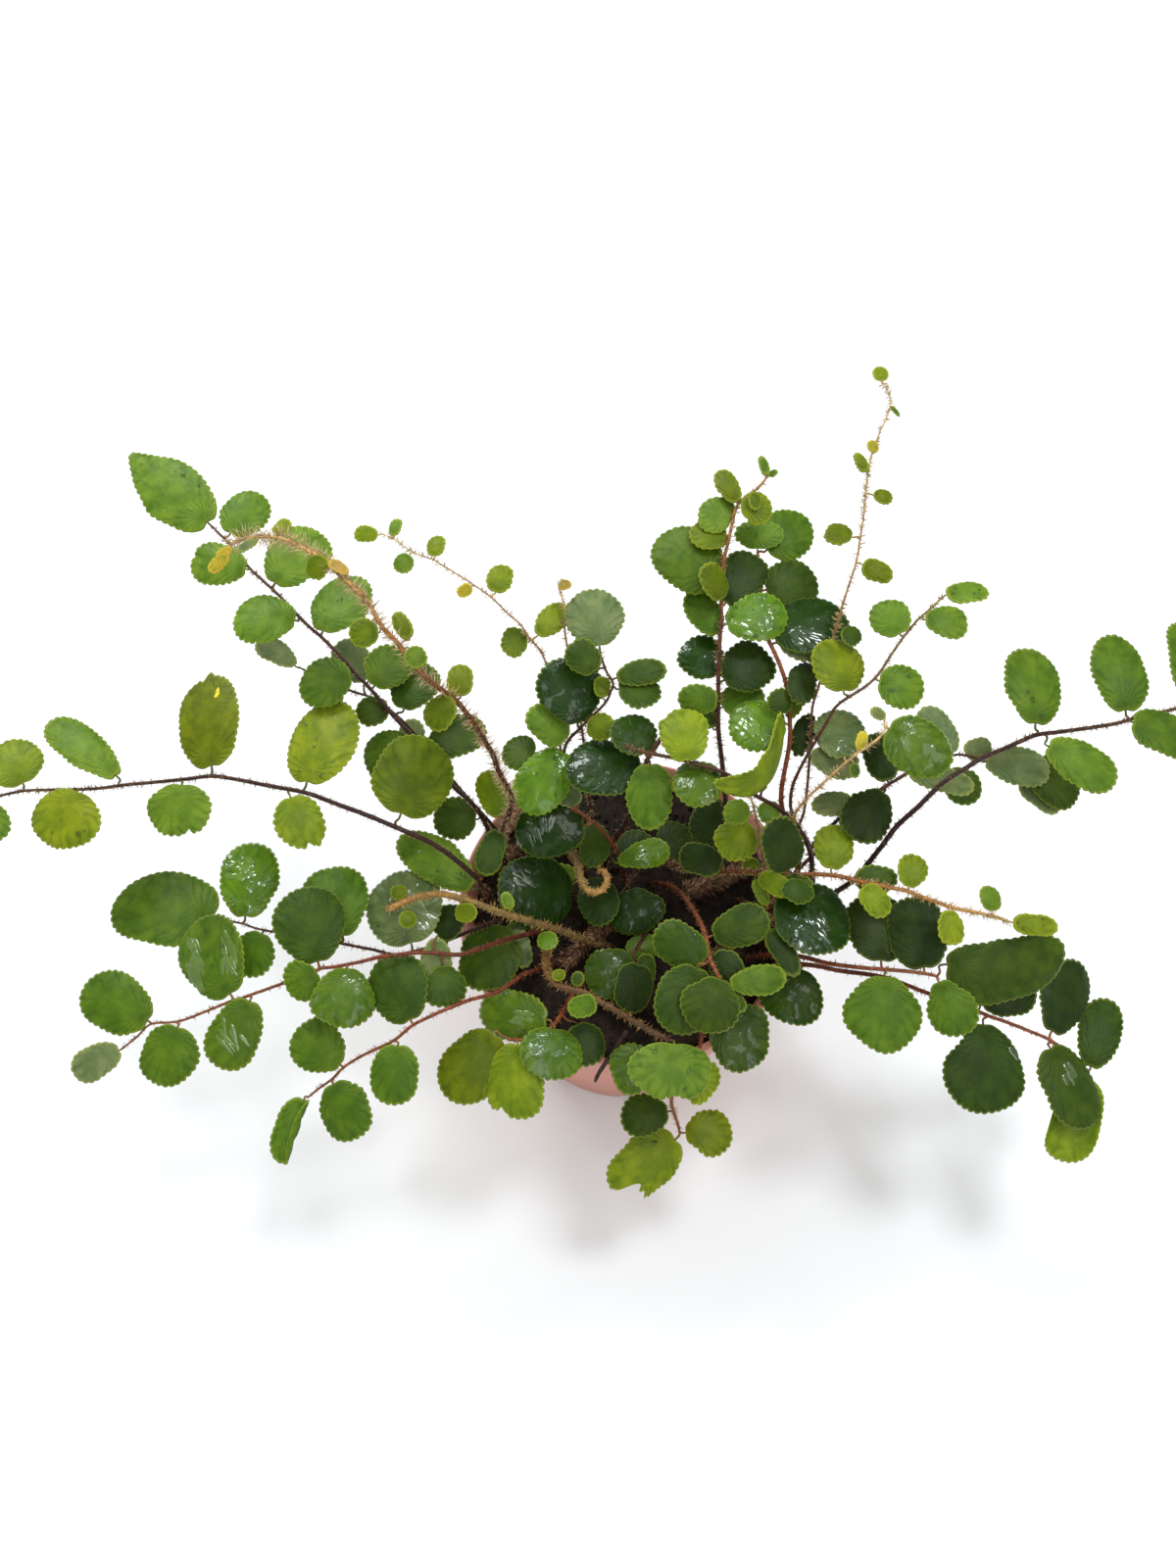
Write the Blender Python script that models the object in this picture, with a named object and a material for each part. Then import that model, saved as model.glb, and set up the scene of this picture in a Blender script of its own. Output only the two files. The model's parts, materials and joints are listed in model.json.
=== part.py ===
"""A young button fern in a small round nursery pot, standing on its base.

Lengths in the tables and in the layout are millimetres. The origin is the middle of the pot's base on the surface it
stands on, +Z is up, and +Y is away from the front of the plant.
"""

import bisect
import math

import bmesh
import bpy
import numpy as np
from mathutils import Vector
from mathutils.bvhtree import BVHTree

# ---------------------------------------------------------------- the fern's layout

# Each frond: name, stem radius at the crown and at the tip (mm), stem kind, stem route and leaflets.
# Stem kinds: d dark, r red-brown, o orange and hairy, t straw and hairy, g golden and hairy.
# Route points and leaflets are placed by sight lines (see sight), and a route point's third number is its height in mm.
# A leaflet is the foot of its blade, its far end, its breadth, a letter for its colour and any special habit.
# Colour letters: y yellow-green, l light green, m mid green, o olive, d dark green, k darkest, b blue-grey,
# w wet and bright, s wet and dark, g golden, n brown.
FRONDS = [
    ("frond_left_long", 0.80, 0.34, "d",
     [(503, 925, 61), (498, 913, 72), (491, 903, 83), (484, 894, 90), (462, 875, 97), (440, 860, 101), (418, 850, 104),
      (406, 845, 105), (375, 832, 108), (345, 821, 110), (312, 809, 111), (275, 802, 111), (250, 797, 111),
      (218, 792, 110), (190, 795, 109), (160, 798, 107), (127, 801, 105), (95, 805, 102), (50, 806, 97),
      (25, 807, 94), (0, 812, 91), (-26, 820, 87)],
     [(24, 801, 2, 757, 58, "l"), (121, 794, 51, 735, 42, "l"), (216, 785, 214, 690, 60, "o"),
      (80, 806, 52, 864, 66, "y"), (186, 799, 178, 853, 65, "l"), (312, 801, 345, 715, 64, "y"),
      (296, 812, 316, 865, 50, "y"), (408, 833, 435, 751, 78, "o"), (484, 907, 408, 853, 46, "l"),
      (-14, 818, -22, 864, 50, "l"), (-28, 821, -76, 838, 44, "l")]),
    ("frond_upper_left", 0.75, 0.32, "d",
     [(505, 884, 61), (502, 866, 70), (499, 849, 79), (490, 831, 87), (480, 818, 92), (462, 802, 97), (440, 775, 104),
      (422, 753, 109), (412, 742, 111), (400, 729, 113), (390, 717, 115), (378, 703, 117), (362, 687, 119),
      (352, 675, 120), (340, 662, 121), (327, 649, 122), (316, 640, 123), (300, 624, 124), (285, 608, 124),
      (270, 594, 124), (255, 580, 123), (240, 562, 122), (228, 549, 121), (217, 538, 120)],
     [(215, 536, 132, 462, 58, "m", "point"), (234, 546, 266, 504, 46, "m"), (253, 581, 195, 571, 43, "m"),
      (279, 597, 324, 541, 54, "m"), (303, 633, 238, 629, 49, "m"), (328, 646, 366, 588, 54, "m"),
      (360, 691, 305, 701, 52, "m"), (381, 701, 407, 661, 47, "d"), (411, 725, 434, 677, 48, "k"),
      (397, 722, 363, 729, 30, "k"), (418, 752, 378, 792, 54, "m"), (440, 768, 492, 736, 42, "d"),
      (487, 836, 442, 834, 44, "b")]),
    ("frond_upper_left_under", 0.60, 0.30, "d",
     [(524, 868, 61), (497, 836, 70), (470, 806, 78), (440, 770, 86), (410, 735, 94), (381, 713, 99), (361, 706, 101),
      (335, 695, 102), (305, 681, 102)],
     [(302, 680, 264, 653, 25, "b"), (377, 692, 342, 658, 38, "b"), (350, 708, 322, 722, 24, "b"),
      (428, 768, 416, 734, 26, "b")]),
    ("frond_hairy_arch", 0.85, 0.45, "o",
     [(520, 903, 61), (516, 882, 70), (512, 862, 80), (513, 845, 89), (519, 832, 96), (522, 815, 103), (515, 798, 110),
      (508, 785, 115), (503, 770, 120), (497, 760, 123), (490, 748, 127), (480, 733, 131), (470, 720, 134),
      (460, 710, 136), (445, 700, 139), (435, 692, 141), (425, 682, 143), (415, 668, 145), (400, 650, 147),
      (390, 640, 148), (383, 628, 149), (377, 617, 149), (362, 600, 150), (347, 587, 150), (332, 571, 149),
      (318, 564, 148), (300, 554, 147), (280, 548, 146), (260, 548, 144), (245, 551, 142), (234, 556, 141)],
     [(263, 551, 241, 563, 9, "b"), (236, 559, 221, 570, 10, "g"), (233, 566, 213, 583, 13, "g"),
      (281, 545, 295, 530, 14, "o"), (327, 566, 320, 592, 22, "o"), (355, 586, 336, 572, 12, "n"),
      (387, 645, 356, 647, 31, "o"), (418, 652, 403, 625, 18, "b"), (417, 661, 431, 680, 22, "l"),
      (458, 709, 440, 744, 33, "o"), (470, 711, 469, 677, 26, "o"),
      (509, 846, 492, 893, 28, "d"), (512, 834, 494, 787, 32, "o")]),
    ("frond_thin_young", 0.45, 0.25, "d",
     [(585, 872, 61), (580, 840, 76), (576, 800, 90), (570, 750, 104), (563, 705, 114), (557, 676, 119), (550, 662, 121),
      (541, 652, 123), (530, 636, 126), (520, 628, 127), (502, 610, 130), (485, 598, 132), (470, 588, 133),
      (450, 576, 134), (444, 572, 134), (421, 563, 134), (400, 549, 134), (389, 545, 133)],
     [(386, 546, 361, 544, 17, "o"), (401, 547, 406, 529, 12, "l"), (418, 566, 405, 583, 19, "l"),
      (444, 568, 446, 546, 19, "y"), (505, 605, 515, 576, 27, "o"), (481, 598, 467, 607, 13, "g"),
      (539, 655, 511, 655, 32, "o"), (548, 649, 577, 617, 28, "o")]),
    ("frond_bud", 0.45, 0.40, "t",
     [(606, 862, 61), (602, 820, 76), (597, 770, 92), (590, 715, 108), (584, 672, 117), (579, 660, 120), (576, 640, 124),
      (577, 622, 127), (573, 608, 129), (570, 597, 130), (574, 591, 130)],
     [(578, 621, 592, 619, 14, "g"), (575, 592, 577, 602, 14, "n")]),
    ("frond_centre_dark", 0.70, 0.28, "d",
     [(600, 905, 61), (592, 872, 72), (584, 832, 84), (577, 795, 95), (575, 772, 101), (579, 757, 105), (590, 745, 109),
      (600, 735, 111), (618, 717, 115), (623, 706, 117), (626, 697, 119), (620, 688, 121), (615, 675, 123),
      (612, 665, 124)],
     [(612, 661, 601, 601, 63, "b"), (628, 692, 680, 681, 27, "b"), (630, 703, 674, 705, 36, "b"),
      (590, 740, 573, 671, 66, "s"), (577, 757, 541, 723, 36, "l"), (575, 765, 535, 829, 54, "w"),
      (607, 687, 584, 654, 36, "d"), (598, 741, 628, 742, 28, "o"), (547, 768, 512, 768, 36, "o"),
      (613, 712, 616, 690, 18, "o")]),
    ("frond_thick_dark", 1.00, 0.55, "d",
     [(615, 889, 61), (617, 878, 67), (622, 865, 74), (630, 853, 81), (636, 845, 85), (643, 830, 93), (650, 812, 101),
      (653, 800, 105), (657, 785, 109), (661, 774, 112), (668, 764, 114), (676, 750, 115)],
     [(663, 778, 664, 847, 47, "m"), (659, 770, 634, 731, 46, "d"), (654, 789, 578, 776, 60, "s"), (629, 880, 684, 865, 30, "w", 4),
      (677, 748, 680, 734, 14, "l")]),
    ("frond_centre_right", 0.80, 0.40, "d",
     [(770, 948, 61), (796, 930, 73), (818, 908, 83), (828, 888, 91), (826, 868, 98), (815, 845, 105), (803, 832, 109),
      (790, 822, 112), (770, 811, 115), (757, 801, 117), (745, 792, 118), (730, 785, 119), (710, 780, 119),
      (695, 775, 119), (680, 772, 119), (660, 768, 119), (645, 764, 118), (637, 761, 117)],
     [(702, 778, 695, 722, 49, "y"), (737, 790, 688, 806, 50, "l"), (782, 803, 774, 776, 98, "y", "boat")]),
    ("frond_small_leaves", 0.70, 0.40, "t",
     [(772, 922, 61), (781, 905, 72), (780, 886, 82), (778, 872, 88), (776, 858, 93), (774, 845, 97), (771, 832, 101),
      (768, 820, 104), (764, 809, 107)],
     [(766, 828, 738, 830, 27, "l"), (773, 824, 796, 833, 25, "m"), (773, 852, 729, 861, 43, "y"),
      (776, 882, 757, 887, 18, "l")]),
    ("frond_tall_hairy", 0.90, 0.35, "d",
     [(746, 878, 61), (747, 864, 72), (742, 828, 88), (737, 780, 102), (733, 745, 111), (733, 720, 117), (733, 690, 123),
      (734, 660, 128), (736, 630, 132), (736, 600, 136), (738, 575, 139), (743, 553, 142), (748, 530, 144),
      (752, 516, 146), (763, 505, 147), (771, 500, 148), (783, 487, 149)],
     [(783, 486, 776, 465, 10, "m"), (785, 486, 793, 480, 7, "m"), (770, 502, 770, 521, 13, "d"),
      (755, 518, 788, 517, 33, "y"), (752, 513, 733, 480, 22, "o"), (747, 532, 714, 518, 38, "l"),
      (742, 556, 705, 538, 30, "o"), (733, 597, 672, 548, 62, "d"), (736, 613, 721, 574, 27, "o"),
      (733, 648, 704, 602, 32, "o"), (734, 688, 700, 655, 46, "s"), (737, 695, 786, 668, 52, "k"),
      (739, 617, 774, 566, 48, "k"), (740, 637, 803, 624, 48, "w"), (728, 744, 706, 700, 28, "o"),
      (733, 716, 692, 711, 32, "k"), (736, 722, 778, 704, 36, "d"),
      (743, 850, 708, 826, 52, "k")]),
    ("frond_red_upright", 0.80, 0.45, "r",
     [(762, 948, 61), (792, 918, 76), (814, 886, 87), (812, 860, 94), (801, 835, 100), (797, 815, 105), (799, 795, 109),
      (803, 775, 112), (806, 755, 115), (806, 735, 118), (804, 710, 121), (800, 690, 124), (790, 665, 127),
      (783, 650, 129), (778, 625, 131), (776, 600, 133), (774, 580, 134), (773, 562, 135)],
     [(773, 561, 776, 531, 48, "l"), (781, 562, 823, 528, 54, "d"), (780, 602, 834, 592, 54, "d"),
      (787, 648, 866, 630, 56, "s"), (794, 656, 847, 655, 42, "b"), (803, 738, 743, 743, 55, "w"),
      (803, 692, 834, 698, 44, "k"), (806, 726, 787, 706, 26, "o"), (808, 745, 832, 752, 46, "k"),
      (806, 716, 818, 724, 30, "o")]),
    ("frond_tall_thin", 0.50, 0.26, "t",
     [(758, 962, 61), (790, 938, 74), (812, 905, 84), (816, 875, 92), (815, 845, 99), (820, 830, 103), (823, 810, 107),
      (825, 788, 111), (827, 755, 116), (829, 722, 121), (836, 698, 125), (845, 665, 130), (855, 635, 135),
      (861, 613, 138), (868, 592, 141), (874, 573, 143), (877, 555, 145), (880, 535, 147), (882, 520, 148),
      (884, 495, 149), (886, 480, 150), (889, 465, 150), (893, 455, 151), (898, 440, 151), (903, 430, 152),
      (909, 413, 152), (906, 400, 152), (901, 391, 151)],
     [(870, 548, 842, 541, 23, "o"), (880, 576, 911, 589, 21, "o"), (891, 505, 911, 508, 15, "o"),
      (884, 482, 873, 462, 12, "o"), (892, 462, 889, 449, 11, "g"), (899, 389, 897, 374, 16, "y"),
      (909, 415, 918, 425, 4, "m"), (860, 641, 877, 656, 20, "d")]),
    ("frond_upper_right", 0.60, 0.28, "d",
     [(778, 932, 61), (810, 912, 77), (828, 888, 90), (826, 862, 98), (814, 843, 103), (807, 826, 107), (808, 805, 111),
      (816, 785, 115), (830, 760, 119), (843, 738, 123), (853, 721, 126), (865, 712, 128), (875, 706, 129),
      (885, 699, 130), (893, 692, 131), (900, 683, 132), (908, 670, 133), (915, 660, 134), (922, 650, 135),
      (930, 640, 136), (938, 631, 136), (950, 621, 136), (958, 613, 135), (964, 608, 134)],
     [(861, 707, 850, 651, 51, "y"), (896, 694, 943, 706, 45, "l"), (919, 648, 898, 613, 41, "l"),
      (943, 632, 988, 638, 34, "l"), (965, 607, 1009, 603, 22, "l"), (831, 752, 884, 745, 53, "b"),
      (826, 770, 877, 782, 34, "d")]),
    ("frond_straw_right", 0.60, 0.40, "t",
     [(752, 946, 61), (780, 924, 78), (800, 895, 92), (806, 865, 102), (808, 845, 108), (811, 831, 113), (818, 821, 116),
      (828, 810, 119), (840, 799, 121), (855, 785, 124), (873, 770, 127), (888, 760, 129), (900, 750, 131),
      (903, 743, 132), (902, 735, 132)],
     [(905, 742, 968, 783, 58, "d"), (871, 779, 873, 794, 11, "d"), (903, 733, 889, 723, 12, "b"),
      (877, 766, 882, 746, 12, "g")]),
    ("frond_right_middle", 0.75, 0.40, "d",
     [(780, 946, 61), (808, 934, 70), (828, 908, 78), (829, 884, 85), (827, 868, 89), (837, 853, 93), (850, 841, 96),
      (870, 824, 101), (890, 811, 105), (907, 800, 108), (924, 791, 111)],
     [(927, 788, 994, 803, 27, "b"), (906, 798, 890, 748, 34, "k"), (903, 807, 868, 855, 50, "d"),
      (872, 818, 828, 822, 25, "b")]),
    ("frond_right_long", 0.85, 0.40, "d",
     [(772, 966, 61), (800, 950, 71), (832, 926, 76), (852, 911, 79), (866, 902, 84), (877, 893, 89), (885, 882, 94),
      (900, 863, 101), (915, 843, 107), (935, 825, 112), (952, 808, 115), (967, 795, 117), (985, 784, 118),
      (1003, 773, 119), (1020, 766, 119), (1040, 757, 119), (1057, 750, 118), (1080, 747, 117), (1110, 743, 115),
      (1140, 738, 113), (1160, 732, 111), (1185, 727, 108), (1200, 723, 106), (1230, 714, 102), (1254, 706, 98)],
     [(1057, 741, 1050, 661, 54, "m"), (1149, 728, 1133, 647, 51, "m"), (1068, 760, 1138, 800, 42, "m"),
      (1154, 736, 1222, 762, 42, "m"), (1210, 714, 1216, 636, 46, "m"), (1257, 705, 1305, 690, 40, "m")]),
    ("frond_right_under", 0.60, 0.30, "d",
     [(776, 930, 61), (822, 880, 74), (870, 832, 84), (915, 795, 92), (950, 778, 96), (978, 770, 98), (1003, 776, 99),
      (1025, 783, 99), (1048, 790, 98)],
     [(972, 770, 942, 722, 34, "b"), (985, 770, 1012, 758, 22, "b"), (1004, 777, 1072, 788, 40, "b"),
      (1050, 788, 1102, 808, 52, "d"), (1042, 796, 1080, 829, 22, "b"), (968, 785, 996, 818, 36, "d")]),
    ("frond_orange_right", 0.80, 0.40, "o",
     [(676, 878, 61), (688, 883, 69), (706, 887, 76), (730, 889, 83), (757, 889, 88), (780, 890, 92), (810, 892, 95),
      (830, 892, 97), (850, 893, 99), (865, 896, 100), (880, 900, 101), (895, 903, 101), (910, 906, 101),
      (925, 909, 101), (940, 915, 100), (955, 920, 99), (970, 926, 98), (985, 929, 97), (1000, 932, 96),
      (1020, 937, 94), (1031, 941, 93)],
     [(848, 888, 855, 841, 40, "y"), (880, 904, 906, 933, 28, "y"), (927, 906, 935, 872, 31, "y"),
      (968, 928, 973, 965, 26, "y"), (1012, 930, 1009, 904, 21, "l"), (1033, 941, 1080, 947, 23, "y"),
      (800, 896, 826, 914, 30, "m"), (872, 897, 916, 897, 28, "d"),
      (806, 889, 788, 834, 42, "d", 4), (738, 884, 692, 870, 34, "k"), (815, 896, 812, 922, 34, "m"),
      (774, 893, 809, 911, 22, "y", 1), (770, 897, 783, 924, 14, "l")]),
    ("frond_right_upper_red", 0.75, 0.45, "r",
     [(760, 978, 61), (782, 974, 68), (802, 974, 73), (822, 977, 77), (845, 983, 80), (875, 987, 83), (900, 989, 84),
      (925, 991, 85), (948, 994, 85), (957, 997, 84)],
     [(899, 983, 895, 912, 65, "k"), (943, 990, 929, 914, 56, "k"), (903, 994, 902, 1072, 78, "m"),
      (962, 985, 1086, 965, 78, "d", "half"), (957, 1000, 984, 1056, 50, "m")]),
    ("frond_right_lower_red", 0.75, 0.40, "r",
     [(758, 992, 61), (780, 990, 67), (804, 984, 71), (830, 985, 73), (845, 988, 74), (860, 991, 75), (885, 994, 76),
      (905, 998, 76), (925, 1005, 76), (940, 1011, 75), (965, 1020, 74), (993, 1030, 72), (1010, 1037, 71),
      (1030, 1044, 69), (1050, 1052, 67), (1069, 1060, 65), (1085, 1071, 62), (1103, 1089, 58)],
     [(1001, 1023, 1058, 1012, 38, "k"), (1003, 1042, 1003, 1136, 78, "d"), (1072, 1055, 1098, 979, 47, "k"),
      (1070, 1067, 1112, 1151, 50, "d"), (1112, 1091, 1131, 1019, 41, "d"), (1104, 1096, 1080, 1184, 58, "y", "curl"),
      (818, 987, 799, 1043, 68, "d")]),
    ("frond_left_lower", 0.70, 0.30, "r",
     [(574, 992, 61), (562, 988, 66), (550, 989, 70), (540, 992, 73), (530, 997, 76), (520, 1004, 78), (510, 1011, 79),
      (500, 1015, 80), (480, 1020, 81), (465, 1026, 82), (450, 1032, 82), (435, 1039, 82), (421, 1046, 81),
      (403, 1061, 79), (385, 1070, 77), (370, 1077, 75), (352, 1088, 73), (339, 1101, 70), (325, 1111, 67),
      (314, 1120, 65)],
     [(420, 1043, 393, 976, 61, "d"), (406, 1065, 399, 1128, 47, "d"), (349, 1088, 303, 1049, 53, "m"),
      (339, 1104, 365, 1162, 52, "m"), (311, 1120, 287, 1188, 40, "m", "fold")]),
    ("frond_left_middle", 0.75, 0.26, "r",
     [(558, 949, 61), (549, 951, 66), (535, 954, 71), (512, 960, 77), (490, 968, 81), (470, 974, 83), (452, 973, 84),
      (432, 972, 85), (415, 973, 86), (400, 975, 86), (385, 977, 86), (370, 981, 86), (355, 984, 86), (340, 987, 86),
      (328, 988, 86), (310, 996, 85), (290, 1003, 84), (265, 1012, 82), (245, 1019, 80), (237, 1021, 79),
      (215, 1030, 77), (183, 1042, 74), (154, 1045, 71), (140, 1058, 68), (126, 1069, 66)],
     [(325, 984, 310, 904, 72, "d"), (324, 991, 292, 1010, 44, "l"), (354, 986, 347, 1049, 63, "l"),
      (236, 1017, 199, 940, 65, "w"), (256, 1019, 222, 1089, 53, "m"), (182, 1046, 160, 1108, 56, "m"),
      (153, 1043, 86, 1003, 57, "m"), (123, 1071, 74, 1095, 35, "d"), (452, 984, 456, 1028, 46, "m"),
      (446, 956, 441, 1024, 34, "b")]),
    ("frond_left_middle_under", 0.65, 0.26, "d",
     [(540, 922, 61), (520, 934, 67), (480, 950, 73), (445, 964, 77), (418, 972, 79), (400, 974, 80), (385, 970, 80),
      (370, 967, 80), (350, 963, 80), (320, 957, 80), (280, 951, 80), (260, 947, 79), (250, 943, 78), (240, 941, 78),
      (224, 938, 77)],
     [(221, 937, 116, 920, 78, "m"), (250, 938, 257, 860, 58, "w"), (268, 951, 247, 996, 42, "m"),
      (350, 958, 336, 884, 62, "m"), (420, 965, 404, 889, 76, "b"), (456, 962, 460, 922, 34, "k"), (511, 942, 488, 1011, 61, "d", 3),
      (522, 940, 536, 988, 24, "b", 3)]),
    ("frond_golden", 1.00, 0.80, "g",
     [(622, 966, 61), (606, 963, 68), (588, 956, 74), (570, 949, 78), (550, 943, 81), (530, 937, 84), (510, 931, 86),
      (490, 923, 88), (470, 917, 89), (450, 912, 89), (432, 914, 89), (415, 919, 88), (402, 925, 88), (394, 929, 87)],
     [(408, 918, 405, 903, 18, "o"), (415, 929, 417, 947, 18, "o"), (475, 921, 475, 942, 23, "o"),
      (521, 928, 515, 910, 13, "l"), (560, 950, 558, 970, 21, "w")]),
    ("frond_golden_front", 0.85, 0.70, "g",
     [(566, 958, 61), (560, 966, 67), (557, 976, 73), (557, 986, 76), (560, 996, 79), (570, 1006, 81), (583, 1010, 82),
      (597, 1013, 83), (610, 1021, 84), (625, 1029, 85), (640, 1038, 85), (655, 1047, 85), (670, 1055, 85),
      (683, 1061, 84)],
     [(688, 1063, 684, 1124, 90, "l", "wide"), (609, 1023, 579, 1030, 24, "m"), (572, 1001, 568, 989, 14, "o"),
      (588, 1007, 591, 991, 14, "d")]),
    ("frond_front_left", 0.65, 0.45, "r",
     [(612, 988, 61), (598, 999, 65), (585, 1014, 69), (575, 1031, 72), (566, 1045, 74), (553, 1056, 74),
      (538, 1061, 73), (522, 1061, 71)],
     [(566, 1048, 558, 1102, 66, "m"), (528, 1063, 525, 1142, 58, "y"), (505, 1053, 458, 1121, 62, "o"),
      (560, 1041, 489, 1030, 50, "m"), (588, 1044, 607, 1086, 42, "k")]),
    ("frond_front", 0.65, 0.40, "r",
     [(690, 988, 61), (705, 1010, 66), (713, 1035, 71), (716, 1055, 74), (712, 1075, 74), (700, 1095, 71),
      (688, 1112, 66), (685, 1123, 62), (687, 1133, 58), (691, 1145, 53), (694, 1156, 49)],
     [(683, 1134, 633, 1142, 43, "d"), (691, 1161, 626, 1216, 56, "y", "bite"), (698, 1156, 748, 1156, 46, "o"),
      (702, 1094, 731, 1112, 44, "m"), (672, 1084, 622, 1095, 50, "m"), (725, 1046, 783, 1072, 68, "d")]),
    ("frond_front_right", 0.85, 0.50, "r",
     [(664, 900, 61), (680, 903, 68), (691, 908, 74), (700, 918, 79), (708, 930, 83), (714, 940, 86), (718, 950, 88),
      (721, 960, 90), (723, 970, 91), (725, 980, 92), (730, 990, 92), (735, 1000, 92), (739, 1006, 92)],
     [(726, 955, 785, 936, 42, "m"), (721, 981, 669, 948, 44, "m"), (728, 972, 754, 1000, 34, "d"),
      (743, 1004, 803, 997, 30, "l"), (743, 1010, 760, 1032, 15, "y"), (735, 997, 717, 1054, 60, "m"),
      (712, 985, 684, 1054, 60, "m")]),
    ("frond_crown_back", 0.55, 0.40, "r",
     [(637, 899, 61), (634, 878, 71), (625, 860, 79), (612, 845, 86), (596, 832, 92), (582, 823, 96)],
     [(598, 842, 526, 850, 58, "s"), (590, 822, 566, 798, 26, "b"), (624, 863, 590, 860, 46, "d"),
      (636, 882, 664, 852, 44, "k")]),
    ("frond_crown_left", 0.55, 0.40, "d",
     [(604, 925, 61), (594, 916, 64), (582, 908, 67), (570, 903, 69)],
     [(585, 914, 507, 908, 74, "s"), (590, 895, 557, 893, 26, "l"), (580, 925, 556, 931, 20, "l")]),
    ("frond_crown_middle", 0.55, 0.40, "d",
     [(662, 868, 61), (654, 880, 65), (646, 893, 69), (640, 903, 71)],
     [(642, 906, 654, 953, 58, "s"), (632, 912, 590, 926, 50, "k"), 
      (672, 866, 706, 850, 44, "k")]),
    ("frond_crown_front", 0.55, 0.40, "d",
     [(668, 930, 61), (662, 948, 65), (652, 964, 68), (645, 975, 70)],
     [(645, 974, 604, 1012, 54, "b"), (660, 972, 656, 1010, 22, "d"), (655, 953, 660, 979, 38, "b"),
      (652, 982, 640, 1034, 40, "k")]),
    ("frond_crown_right", 0.55, 0.40, "d",
     [(752, 918, 61), (764, 924, 71), (775, 931, 82), (785, 937, 92)],
     [(788, 938, 868, 940, 76, "s"), (784, 948, 814, 996, 24, "d")]),
    ("frond_crozier", 1.10, 0.80, "g",
     [(572, 862, 61), (580, 868, 68), (587, 876, 75), (591, 888, 80), (594, 900, 83), (600, 909, 85), (608, 911, 86),
      (616, 907, 86), (620, 898, 85), (617, 890, 84), (610, 888, 83)],
     []),
]

EYE = Vector((-10.6, -143.0, 346.0))
PITCH = math.radians(57.3)
REACH = 1201.7
MIDDLE = (600.0, 800.0)
LOOK = Vector((0.0, math.cos(PITCH), -math.sin(PITCH)))
HIGH = Vector((0.0, math.sin(PITCH), math.cos(PITCH)))
BACK = -LOOK

LEAF_HALF = 0.23        # half the thickness of a leaflet
GAP = 0.34              # free space kept round every piece
STEP = 1.5              # spacing of the points along a stem
SOIL_TOP = 60.0
POT_HEIGHT = 65.5
RIM_RADIUS = 45.0


def sight(x, y, z):
    """The point at height z that the eye sees at (x, y) of the layout."""
    ray = Vector(((x - MIDDLE[0]) / REACH, 0.0, 0.0)) + HIGH * ((MIDDLE[1] - y) / REACH) + LOOK
    return EYE + ray * ((z - EYE.z) / ray.z)


def seen(point):
    """Where the eye sees a point of the layout."""
    rel = point - EYE
    depth = rel.dot(LOOK)
    return MIDDLE[0] + REACH * rel.x / depth, MIDDLE[1] - REACH * rel.dot(HIGH) / depth


def bend(knots, step):
    """Points about one step apart on a smooth curve through the knots."""
    ends = [knots[0] * 2 - knots[1]] + knots + [knots[-1] * 2 - knots[-2]]
    out = []
    for i in range(1, len(ends) - 2):
        p0, p1, p2, p3 = ends[i - 1:i + 3]
        n = max(1, round((p2 - p1).length / step))
        for k in range(n):
            t = k / n
            out.append(0.5 * (2 * p1 + (p2 - p0) * t + (2 * p0 - 5 * p1 + 4 * p2 - p3) * t * t
                              + (3 * p1 - p0 - 3 * p2 + p3) * t * t * t))
    out.append(ends[-2])
    return out


class Stem:
    """A stem's centre line, which can be asked for its point, its direction and its radius at any length."""

    def __init__(self, points, thick, thin):
        self.points = points
        self.thick, self.thin = thick, thin
        self.along = [0.0]
        for a, b in zip(points, points[1:]):
            self.along.append(self.along[-1] + (b - a).length)
        self.length = self.along[-1]

    def place(self, s):
        s = min(max(s, 0.0), self.length)
        i = min(max(bisect.bisect_right(self.along, s) - 1, 0), len(self.points) - 2)
        t = (s - self.along[i]) / max(self.along[i + 1] - self.along[i], 1e-9)
        return self.points[i].lerp(self.points[i + 1], t)

    def heading(self, s):
        way = self.place(s + 1.0) - self.place(s - 1.0)
        return way.normalized()

    def radius(self, s):
        t = min(max(s / self.length, 0.0), 1.0)
        return self.thick + (self.thin - self.thick) * t ** 0.7

    def nearest(self, x, y):
        """The length at which the stem comes nearest to (x, y) as seen."""
        best, at = 1e9, 0.0
        for k in range(int(self.length / 0.5) + 1):
            u, v = seen(self.place(k * 0.5))
            d = (u - x) ** 2 + (v - y) ** 2
            if d < best:
                best, at = d, k * 0.5
        return at


def frame_at(stem, s):
    """Direction, sideways and front direction of the stem at length s."""
    t = stem.heading(s)
    n = t.cross(BACK)
    n = n.normalized() if n.length > 1e-3 else Vector((1, 0, 0))
    return t, n, n.cross(t)


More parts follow.
